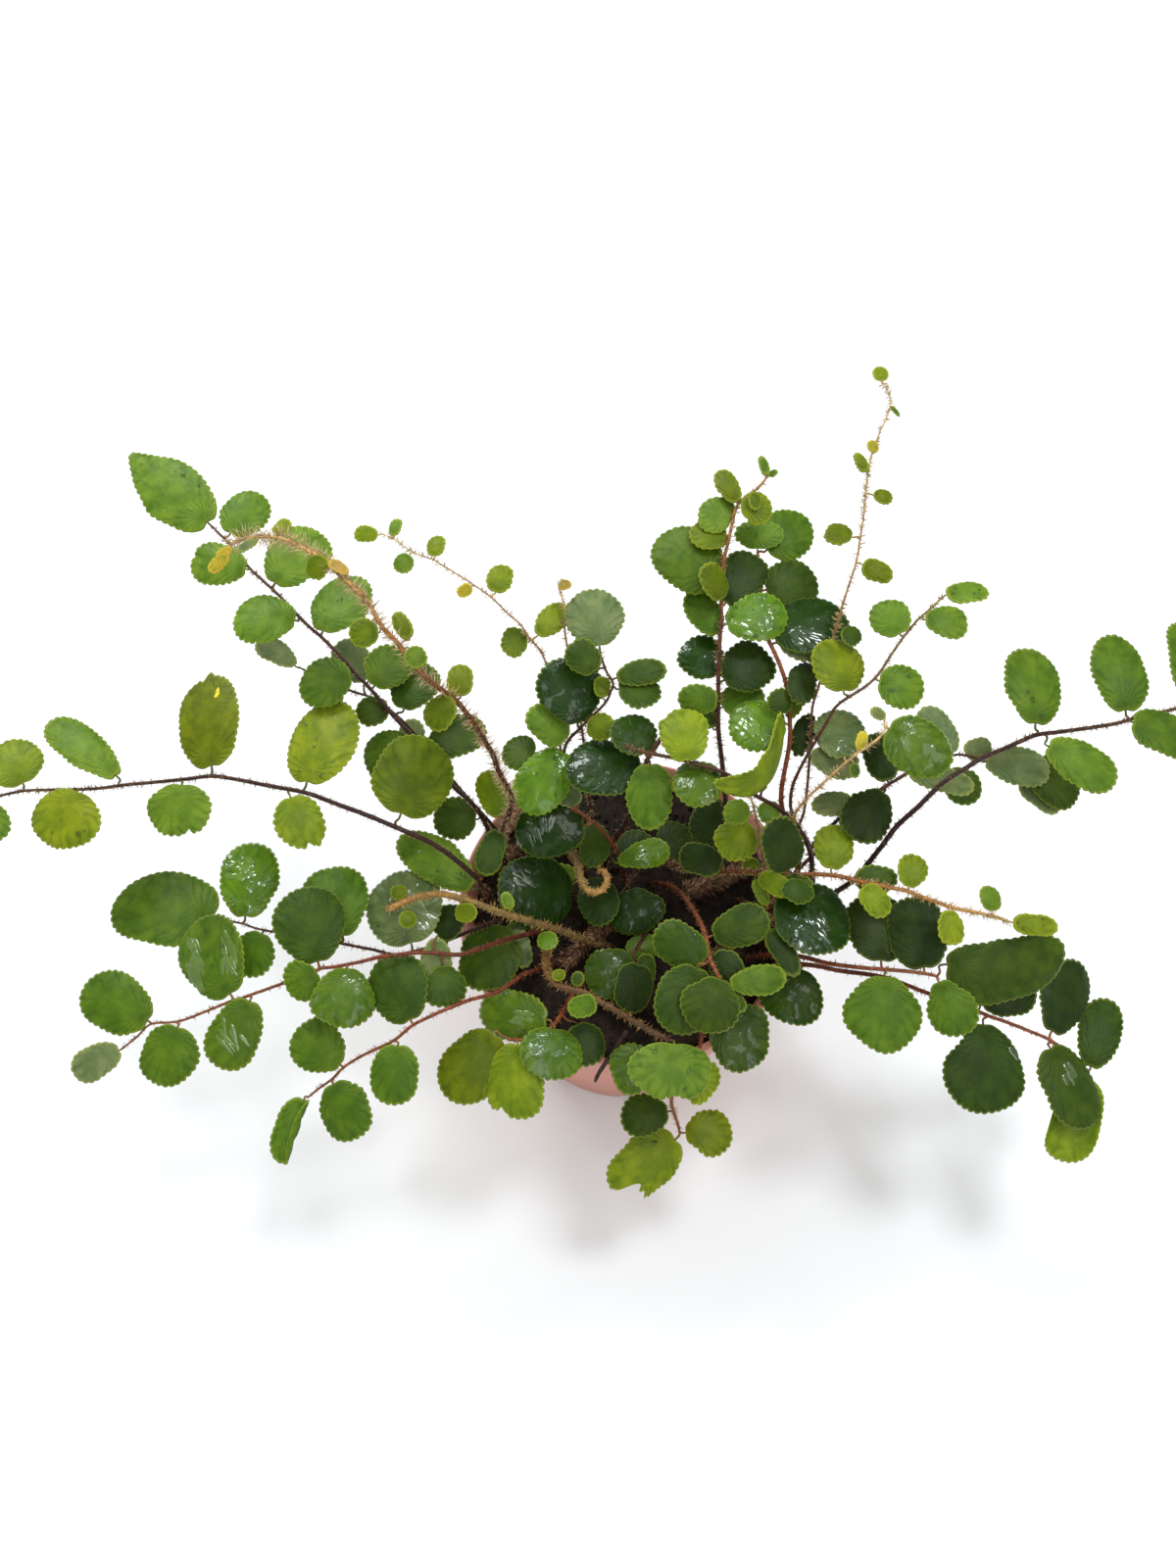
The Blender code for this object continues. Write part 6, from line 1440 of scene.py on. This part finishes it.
def bark_material(name, dark, light):
    made, tree, shader = material(name)
    where = add(tree, "ShaderNodeTexCoord").outputs["Object"]
    coarse = noise(tree, where, 260.0, 4.0, 0.65, 0.4)
    fine = noise(tree, where, 1500.0, 3.0, 0.6)
    tone = add(tree, "ShaderNodeAttribute", attribute_name="tone").outputs["Color"]
    colour = blend_colour(tree, ramp(tree, coarse, 0.3, 0.7), dark, light)
    colour = blend_colour(tree, 1.0, colour, tone, "MULTIPLY")
    colour = blend_colour(tree, ramp(tree, fine, 0.35, 0.7, 0.0, 0.6), colour, (0.4, 0.36, 0.33, 1), "MULTIPLY")
    link(tree, colour, shader.inputs["Base Color"])
    link(tree, ramp(tree, fine, 0.3, 0.7, 0.6, 0.95), shader.inputs["Roughness"])
    shader.inputs["Specular IOR Level"].default_value = 0.20
    relief = bump(tree, coarse, 0.7, 0.0008)
    link(tree, bump(tree, fine, 0.5, 0.0002, relief), shader.inputs["Normal"])
    return made


def pot_material():
    made, tree, shader = material("terracotta_plastic")
    where = add(tree, "ShaderNodeTexCoord").outputs["Object"]
    cloud = noise(tree, where, 45.0, 3.0, 0.5)
    grain = noise(tree, where, 1400.0, 2.0, 0.5)
    speck = noise(tree, where, 330.0, 2.0, 0.5)
    high = add(tree, "ShaderNodeSeparateXYZ")
    link(tree, where, high.inputs[0])
    colour = blend_colour(tree, ramp(tree, cloud, 0.3, 0.7), (0.60, 0.225, 0.165, 1), (0.69, 0.285, 0.215, 1))
    colour = blend_colour(tree, ramp(tree, grain, 0.35, 0.7, 0.0, 0.25), colour, (0.82, 0.74, 0.70, 1), "MULTIPLY")
    # A few crumbs' stains lie over the wall, and the lowest 6 mm of the wall are darkened as painted shade where the
    # pot meets the floor.
    stain = sums(tree, "MULTIPLY", ramp(tree, speck, 0.60, 0.70), ramp(tree, cloud, 0.45, 0.65))
    colour = blend_colour(tree, sums(tree, "MULTIPLY", stain, 0.45), colour, (0.20, 0.10, 0.07, 1))
    # Painted shade at the foot of the pot.
    colour = blend_colour(tree, ramp(tree, high.outputs[2], 0.0, 0.006, 0.35, 0.0), colour, (0.45, 0.22, 0.17, 1))
    link(tree, colour, shader.inputs["Base Color"])
    link(tree, ramp(tree, cloud, 0.3, 0.7, 0.34, 0.48), shader.inputs["Roughness"])
    shader.inputs["Subsurface Weight"].default_value = 0.0
    relief = bump(tree, grain, 0.22, 0.00008)
    link(tree, bump(tree, cloud, 0.2, 0.0006, relief), shader.inputs["Normal"])
    return made


def peat_material():
    made, tree, shader = material("moist_peat_with_painted_shade")
    where = add(tree, "ShaderNodeTexCoord").outputs["Object"]
    tone = add(tree, "ShaderNodeAttribute", attribute_name="tone").outputs["Color"]
    coarse = noise(tree, where, 320.0, 4.0, 0.7)
    fine = noise(tree, where, 1800.0, 3.0, 0.6)
    # The peat is nearly black: its own moist colour, darkened further as painted shade of the crown between the
    # leaflets.
    colour = blend_colour(tree, ramp(tree, coarse, 0.35, 0.7), (0.010, 0.007, 0.005, 1), (0.036, 0.022, 0.015, 1))
    colour = blend_colour(tree, ramp(tree, fine, 0.60, 0.78, 0.0, 0.5), colour, (0.085, 0.052, 0.030, 1))
    colour = blend_colour(tree, 1.0, colour, tone, "MULTIPLY")
    link(tree, colour, shader.inputs["Base Color"])
    link(tree, ramp(tree, coarse, 0.3, 0.8, 0.6, 0.95), shader.inputs["Roughness"])
    shader.inputs["Specular IOR Level"].default_value = 0.12
    relief = bump(tree, coarse, 0.8, 0.001)
    link(tree, bump(tree, fine, 0.6, 0.0003, relief), shader.inputs["Normal"])
    return made


def water_material():
    made, tree, shader = material("water_drop")
    shader.inputs["Base Color"].default_value = (0.93, 0.98, 0.95, 1)
    shader.inputs["Roughness"].default_value = 0.02
    shader.inputs["IOR"].default_value = 1.33
    shader.inputs["Transmission Weight"].default_value = 1.0
    return made


# ---------------------------------------------------------------- the pot and what lies in it

def make_pot(pot_look):
    """The turned pot with a rounded lip, cut by its drain notches."""
    sides = 168
    low_rim = POT_HEIGHT - RIM_DEPTH
    profile = [(20.0, 0.0), (POT_BASE_RADIUS - 1.2, 0.0), (POT_BASE_RADIUS - 0.55, 0.08), (POT_BASE_RADIUS - 0.15, 0.4),
               (POT_BASE_RADIUS, 0.9)]
    for k in range(1, 10):
        z = 0.9 + (low_rim - 0.9) * k / 9
        profile.append((wall_radius(z), z))
    lip = RIM_RADIUS
    profile += [(wall_radius(low_rim) + 0.25, low_rim + 0.15), (lip - 0.7, low_rim + 0.3), (lip - 0.4, low_rim + 0.55),
                (lip - 0.28, low_rim + 1.0), (lip - 0.12, low_rim + 2.6), (lip, POT_HEIGHT - 1.2),
                (lip - 0.04, POT_HEIGHT - 0.7), (lip - 0.22, POT_HEIGHT - 0.28), (lip - 0.55, POT_HEIGHT - 0.03),
                (lip - 0.9, POT_HEIGHT - 0.05), (lip - 1.15, POT_HEIGHT - 0.35), (lip - RIM_LIP - POT_WALL + 0.45, POT_HEIGHT - 1.4),
                (lip - RIM_LIP - POT_WALL + 0.1, POT_HEIGHT - 2.4), (wall_radius(low_rim) - POT_WALL, low_rim - 1.0),
                (wall_radius(30.0) - POT_WALL, 30.0), (wall_radius(3.0) - POT_WALL, 3.0), (POT_BASE_RADIUS - 2.8, POT_FLOOR)]
    points, faces = lathe(profile, sides, 0.0, POT_FLOOR)
    mesh = bpy.data.meshes.new("pot_fine")
    mesh.from_pydata([(p.x * 0.001, p.y * 0.001, p.z * 0.001) for p in points], [], faces)
    body = bmesh.new()
    body.from_mesh(mesh)
    bmesh.ops.recalc_face_normals(body, faces=body.faces[:])
    if body.calc_volume(signed=True) < 0:
        bmesh.ops.reverse_faces(body, faces=body.faces[:])
    body.to_mesh(mesh)
    body.free()
    pot = bpy.data.objects.new("pot_fine", mesh)
    bpy.context.scene.collection.objects.link(pot)
    cutter_points, cutter_faces = [], []
    for k in range(DRAIN_COUNT):
        turn = 2 * math.pi * (k + 0.5) / DRAIN_COUNT + math.radians(4.0)
        out, side = Vector((math.cos(turn), math.sin(turn), 0)), Vector((-math.sin(turn), math.cos(turn), 0))
        shape = [(-1, -1.5), (1, -1.5), (1, DRAIN_HIGH - 1.5)]
        shape += [(math.cos(a) * 0.45 + 0.55 * (1 if math.cos(a) > 0 else -1) * (abs(math.cos(a)) > 0.01),
                   DRAIN_HIGH - 1.5 + 1.5 * math.sin(a)) for a in (0.5, 0.95, 1.35, math.pi - 1.35, math.pi - 0.95, math.pi - 0.5)]
        shape += [(-1, DRAIN_HIGH - 1.5)]
        base, n = len(cutter_points), len(shape)
        for r in (POT_BASE_RADIUS - 4.6, POT_BASE_RADIUS + 4.0):
            for w, z in shape:
                cutter_points.append(out * r + side * (w * DRAIN_WIDE / 2) + Vector((0, 0, z)))
        cutter_faces.append(tuple(base + i for i in range(n)))
        cutter_faces.append(tuple(base + n + i for i in reversed(range(n))))
        for i in range(n):
            j = (i + 1) % n
            cutter_faces.append((base + i, base + n + i, base + n + j, base + j))
    knife_mesh = bpy.data.meshes.new("drain_knife")
    knife_mesh.from_pydata([(p.x * 0.001, p.y * 0.001, p.z * 0.001) for p in cutter_points], [], cutter_faces)
    body = bmesh.new()
    body.from_mesh(knife_mesh)
    bmesh.ops.recalc_face_normals(body, faces=body.faces[:])
    body.to_mesh(knife_mesh)
    body.free()
    knife = bpy.data.objects.new("drain_knife", knife_mesh)
    bpy.context.scene.collection.objects.link(knife)
    cut = pot.modifiers.new("drains", "BOOLEAN")
    cut.operation, cut.solver, cut.object = "DIFFERENCE", "EXACT", knife
    bpy.context.view_layer.update()
    done = bpy.data.meshes.new_from_object(pot.evaluated_get(bpy.context.evaluated_depsgraph_get()))
    pot.modifiers.clear()
    pot.data = done
    bpy.data.objects.remove(knife, do_unlink=True)
    done.materials.clear()
    done.materials.append(pot_look)
    done.shade_smooth()
    done.set_sharp_from_angle(angle=math.radians(38))
    return pot


def make_soil(look, rng):
    """The peat: a body with a crumbly top, loose crumbs and short fibres."""
    shape = Shape()
    outer = wall_radius(SOIL_TOP - 1.2) - POT_WALL - 0.45
    sides, rings = 120, 26
    rows = []
    for i in range(rings):
        r = outer * (1 - i / (rings - 0.4))
        for k in range(sides):
            a = 2 * math.pi * k / sides
            z = SOIL_TOP - 0.9 + 0.5 * math.sin(0.31 * r * math.cos(a) + 1.2) * math.cos(0.27 * r * math.sin(a)) \
                + (0.35 * rng.uniform(-1, 1) if i else -0.4)
            rows.append((r * math.cos(a), r * math.sin(a), min(z, SOIL_TOP + 0.2)))
    faces = []
    for i in range(rings - 1):
        faces += band(i * sides, (i + 1) * sides, sides, False)
    rows.append((0, 0, SOIL_TOP - 0.6))
    faces += [((rings - 1) * sides + k, (rings - 1) * sides + (k + 1) % sides, len(rows) - 1) for k in range(sides)]
    low = len(rows)
    for r, z in ((wall_radius(30.0) - POT_WALL - 0.5, 30.0), (wall_radius(3.4) - POT_WALL - 0.5, 3.4), (POT_BASE_RADIUS - 3.4, POT_FLOOR + 0.35)):
        rows += [(r * math.cos(2 * math.pi * k / sides), r * math.sin(2 * math.pi * k / sides), z) for k in range(sides)]
    faces += band(low, 0, sides, False) + band(low + sides, low, sides, False) + band(low + 2 * sides, low + sides, sides, False)
    rows.append((0, 0, POT_FLOOR + 0.35))
    faces += [(low + 2 * sides + (k + 1) % sides, low + 2 * sides + k, len(rows) - 1) for k in range(sides)]
    shape.add(rows, faces, (1.0, 1.0, 1.0))
    crumb = bmesh.new()
    bmesh.ops.create_icosphere(crumb, subdivisions=1, radius=1.0)
    ball = np.array([v.co[:] for v in crumb.verts])
    ball_faces = [tuple(v.index for v in f.verts) for f in crumb.faces]
    crumb.free()
    for _ in range(900):
        r, a = outer * math.sqrt(rng.random()) * 0.98, rng.uniform(0, 2 * math.pi)
        size = rng.uniform(0.25, 0.8) * (1.8 if rng.random() < 0.06 else 1.0)
        r = min(r, outer - size - 0.1)
        body = ball * rng.uniform(0.55, 1.2, (len(ball), 1)) * np.array([1, rng.uniform(0.6, 1.0), rng.uniform(0.5, 0.9)]) * size
        turn = rng.uniform(0, 2 * math.pi)
        c, s = math.cos(turn), math.sin(turn)
        body = body @ np.array([[c, s, 0], [-s, c, 0], [0, 0, 1]])
        body = body + np.array([r * math.cos(a), r * math.sin(a), SOIL_TOP - 0.75 + 0.3 * size])
        shape.add(body, ball_faces, np.full(3, rng.uniform(0.6, 1.9)) * np.array([1.0, rng.uniform(0.85, 1.0), rng.uniform(0.7, 0.95)]))
    for _ in range(170):
        r, a = (outer - 3.5) * math.sqrt(rng.random()), rng.uniform(0, 2 * math.pi)
        turn, size = rng.uniform(0, 2 * math.pi), rng.uniform(1.5, 4.5)
        start = Vector((r * math.cos(a), r * math.sin(a), SOIL_TOP - 0.4))
        way = Vector((math.cos(turn), math.sin(turn), 0))
        if (start + way * size).to_2d().length > outer - 0.3:
            way = -way
        bow = Vector((-way.y, way.x, 0)) * rng.uniform(-0.5, 0.5)
        path = [start, start + way * (size * 0.4) + bow + Vector((0, 0, rng.uniform(0.1, 0.8))), start + way * size + Vector((0, 0, -0.1))]
        add_tube(shape, bend(path, 0.8), [0.09] * len(bend(path, 0.8)), [(2.6, 2.2, 1.7)] * len(bend(path, 0.8)), 4, 0)
    return shape.build("soil_fine", [look])


def make_rhizome(name, r, route, looks, rng):
    """A creeping rhizome with knobs, clad in brown papery scales and hairs."""
    shape = Shape()
    stem = Stem(bend([sight(*p) for p in route], STEP), r, r * 0.8)
    ends = [stem.points[0] - stem.heading(0.0) * 0.2, *[stem.place(s) for s in np.arange(0.6, stem.length - 0.3, 0.6)],
            stem.points[-1] + stem.heading(stem.length) * 0.2]
    radii = []
    for i, p in enumerate(ends):
        s = stem.length * i / (len(ends) - 1)
        round_end = math.sqrt(max(0.05, 1 - max(0.0, 1 - min(s, stem.length - s) / (0.9 * r)) ** 2))
        radii.append(stem.radius(s) * 0.93 * round_end * (1 + 0.08 * math.sin(s * 2.1) + 0.05 * rng.uniform(-1, 1)))
    bare = [Vector(p) - sight(776, 974, p.z) for p in ends]
    tones = [(3.4, 3.0, 2.6) if name == "rhizome_right" and gap.length < 3.4 else (1.0, 1.0, 1.0) for gap in bare]
    add_tube(shape, ends, radii, tones, 18, 0, 0.0, 0.06, rng)
    rows, faces, tones = [], [], []
    for _ in range(int(stem.length * 26)):
        s = rng.uniform(0.0, stem.length)
        t, side, front = frame_at(stem, s)
        a = rng.uniform(0, 2 * math.pi)
        out = side * math.cos(a) + front * math.sin(a)
        root = stem.place(s) + out * (stem.radius(s) * 0.80)
        if name == "rhizome_right" and (root - sight(776, 974, root.z)).length < 3.2 and rng.random() < 0.8:
            continue
        way = (t * rng.uniform(0.2, 1.0) + out * rng.uniform(0.25, 0.8) + out.cross(t) * rng.uniform(-0.4, 0.4)).normalized()
        size, wide = rng.uniform(1.0, 2.3), rng.uniform(0.12, 0.34)
        papery = rng.random() < 0.045
        if papery:
            size, wide = rng.uniform(2.4, 4.2), rng.uniform(0.6, 1.3)
        across = way.cross(out).normalized()
        mid, tip = root + way * (size * 0.5), root + way * size + out * rng.uniform(-0.2, 0.3)
        thick = out * 0.05
        base = len(rows)
        for p in (root - across * wide * 0.6 + thick, root + across * wide * 0.6 + thick, mid + across * wide + thick, mid - across * wide + thick,
                  root - across * wide * 0.6 - thick, root + across * wide * 0.6 - thick, mid + across * wide - thick, mid - across * wide - thick, tip):
            rows.append(p[:])
        faces += [(base, base + 1, base + 2, base + 3), (base + 7, base + 6, base + 5, base + 4), (base + 1, base, base + 4, base + 5),
                  (base + 2, base + 1, base + 5, base + 6), (base, base + 3, base + 7, base + 4),
                  (base + 3, base + 2, base + 8), (base + 6, base + 7, base + 8), (base + 2, base + 6, base + 8), (base + 7, base + 3, base + 8)]
        shade = np.array([0.27, 0.145, 0.07]) * rng.uniform(0.4, 1.5)
        if papery:
            shade = np.array([0.085, 0.036, 0.026]) * rng.uniform(0.6, 1.8)
        tones += [shade] * 9
    shape.add(rows, faces, np.array(tones), None, (0.0, 0.0, 1.0), 1)
    return shape.build(name + "_fine", looks)


# ---------------------------------------------------------------- everything put together

leaf_dry, leaf_wet = leaf_material("leaf_dry", False), leaf_material("leaf_wet", True)
stem_look, hair_look, film_look = stem_material(), hair_material(), film_material()
bark = bark_material("rhizome", (0.060, 0.032, 0.018, 1), (0.240, 0.135, 0.075, 1))
dead = bark_material("dead_stem_wood", (0.030, 0.015, 0.012, 1), (0.085, 0.045, 0.032, 1))
water = water_material()


def place(piece, name, slot_name):
    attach(piece, "root")
    if name:
        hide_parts(name)
    return piece


place(make_pot(pot_material()), "pot", "pot_plastic")
place(make_soil(peat_material(), np.random.default_rng(3)), "soil", "peat")

coarse_pot, coarse_pot_faces = lathe(pot_profile(), POT_SIDES, 0.0, POT_FLOOR)
coarse_soil, coarse_soil_faces = lathe(soil_profile() + [(24.0, SOIL_TOP - 0.6), (10.0, SOIL_TOP - 0.3)], 40,
                                       POT_FLOOR + 0.35, SOIL_TOP - 0.2)
walls = [wall_tree(coarse_pot, coarse_pot_faces), wall_tree(coarse_soil, coarse_soil_faces)]
for name, r, route in RHIZOMES + [STUB]:
    stem = Stem(bend([sight(*p) for p in route], STEP), r, r * (0.6 if name == "dead_stem" else 0.8))
    walls.append(wall_tree(*tube(stem, 6, 3.2, 0.12)))
    if name != "dead_stem":
        place(make_rhizome(name, r, route, [bark, hair_look], np.random.default_rng(len(name))), name, "rhizome_bark")
    else:
        shape, rng = Shape(), np.random.default_rng(17)
        path = [stem.place(s) for s in np.linspace(0.0, stem.length, 22)]
        radii = [stem.radius(stem.length * i / 21) * (0.92 + 0.08 * rng.uniform(-1, 1)) * (0.55 if i in (0, 21) else 1.0) for i in range(22)]
        add_tube(shape, path, radii, [(1.0, 1.0, 1.0)] * 22, 12, 0, 0.0, 0.08, rng)
        place(shape.build("dead_stem_fine", [dead]), name, "dead_wood")

stems, leaves, stubborn = lay_out(FRONDS, walls, [(r, route) for _, r, route in RHIZOMES + [STUB]])
drops = Shape()
for i, (name, thick, thin, kind, route, specs) in enumerate(FRONDS):
    stem = stems[i]
    rng = np.random.default_rng(100 + i)
    shape = Shape()
    count = max(6, int(stem.length / 1.1))
    lengths = np.linspace(0.0, stem.length, count + 1)
    path = [stem.place(s) for s in lengths]
    kind = LOOK_KIND.get(name, kind)
    colours = [stem_colour(kind, s / stem.length) * rng.uniform(0.9, 1.1) for s in lengths]
    slim = 0.35 if kind == "t" else 0.0
    radii = [stem.radius(s) * (0.98 - slim * s / stem.length) for s in lengths]
    radii[-1] *= 0.45
    radii[-2] *= 0.85
    add_tube(shape, path, radii, colours, 9, 2, rng.uniform(0, 50), 0.05, rng)
    for leaf in leaves:
        if leaf.frond != i:
            continue
        leaf.tone = RETONE.get(name, {}).get(leaf.number, leaf.tone)
        rng_leaf = np.random.default_rng(1000 + 37 * i + leaf.number)
        sheet = add_blade(shape, leaf, name, rng_leaf)
        add_stalk(shape, leaf, sheet, kind, rng_leaf)
        if (name, leaf.number) in DROPS:
            add_drops(drops, sheet, leaf, DROPS[name, leaf.number], rng_leaf)
        for patch in FILMS.get((name, leaf.number), ()):
            add_film(shape, sheet, leaf, specs[leaf.number], patch, rng_leaf)
        for x, y, wide, high, tone in MARKS.get((name, leaf.number), ()):
            add_ridge(shape, sheet, specs[leaf.number], (x, y), wide / 2, high / 2, 0.15, 0.02, tone, 2)
    more, long = (1.3, 0.7) if name == "frond_crozier" else (1.0, 1.0)
    add_hairs(shape, stem, kind, rng, 0.0, more, long, 3)
    place(shape.build(name + "_fine", [leaf_dry, leaf_wet, stem_look, hair_look, film_look]), name, "frond_green")
place(drops.build("water_drops", [water]), None, None)

# ---------------------------------------------------------------- floor, light and camera

floor_mesh = bpy.data.meshes.new("floor")
floor_mesh.from_pydata([(-6, -6, 0), (6, -6, 0), (6, 6, 0), (-6, 6, 0)], [], [(0, 1, 2, 3)])
floor = bpy.data.objects.new("floor", floor_mesh)
bpy.context.scene.collection.objects.link(floor)
pale, tree, shader = material("pale_floor")
where = add(tree, "ShaderNodeTexCoord").outputs["Object"]
link(tree, blend_colour(tree, ramp(tree, noise(tree, where, 6.0, 2.0), 0.3, 0.7), (0.915, 0.92, 0.925, 1), (0.935, 0.938, 0.94, 1)),
     shader.inputs["Base Color"])
shader.inputs["Roughness"].default_value = 0.6
shader.inputs["Specular IOR Level"].default_value = 0.25
floor_mesh.materials.append(pale)

world = bpy.data.worlds.new("studio")
bpy.context.scene.world = world
world.use_nodes = True
world.node_tree.nodes["Background"].inputs["Color"].default_value = (0.93, 0.97, 1.0, 1)
world.node_tree.nodes["Background"].inputs["Strength"].default_value = 0.50


def lamp(name, where, aim, size, power, colour=(1, 1, 1)):
    data = bpy.data.lights.new(name, "AREA")
    data.shape, data.size, data.size_y = "RECTANGLE", size[0], size[1]
    data.energy, data.color = power, colour
    obj = bpy.data.objects.new(name, data)
    obj.location = where
    obj.rotation_mode = "QUATERNION"
    obj.rotation_quaternion = (Vector(aim) - Vector(where)).to_track_quat("-Z", "Y")
    bpy.context.scene.collection.objects.link(obj)
    return obj


lamp("window", (-0.55, 0.75, 1.10), (0, 0, 0.05), (0.55, 0.50), 11.0, (0.97, 0.99, 1.0))
lamp("pane", (0.34, 0.12, 1.30), (0, 0, 0.05), (0.22, 0.30), 5.6, (0.90, 0.96, 1.0))
lamp("fill", (0.35, -0.70, 1.25), (0, 0, 0.05), (1.2, 1.2), 8.0, (1.0, 0.99, 0.97))

eye = bpy.data.cameras.new("eye")
eye.lens, eye.sensor_width, eye.sensor_fit = 27.04, 36.0, "AUTO"
eye.clip_start, eye.clip_end = 0.01, 50.0
camera = bpy.data.objects.new("eye", eye)
camera.location = EYE * 0.001
camera.rotation_euler = (math.pi / 2 - PITCH, 0, 0)
bpy.context.scene.collection.objects.link(camera)
bpy.context.scene.camera = camera
bpy.context.scene.view_settings.view_transform = "Standard"
bpy.context.scene.view_settings.look = "None"

bpy.context.view_layer.update()
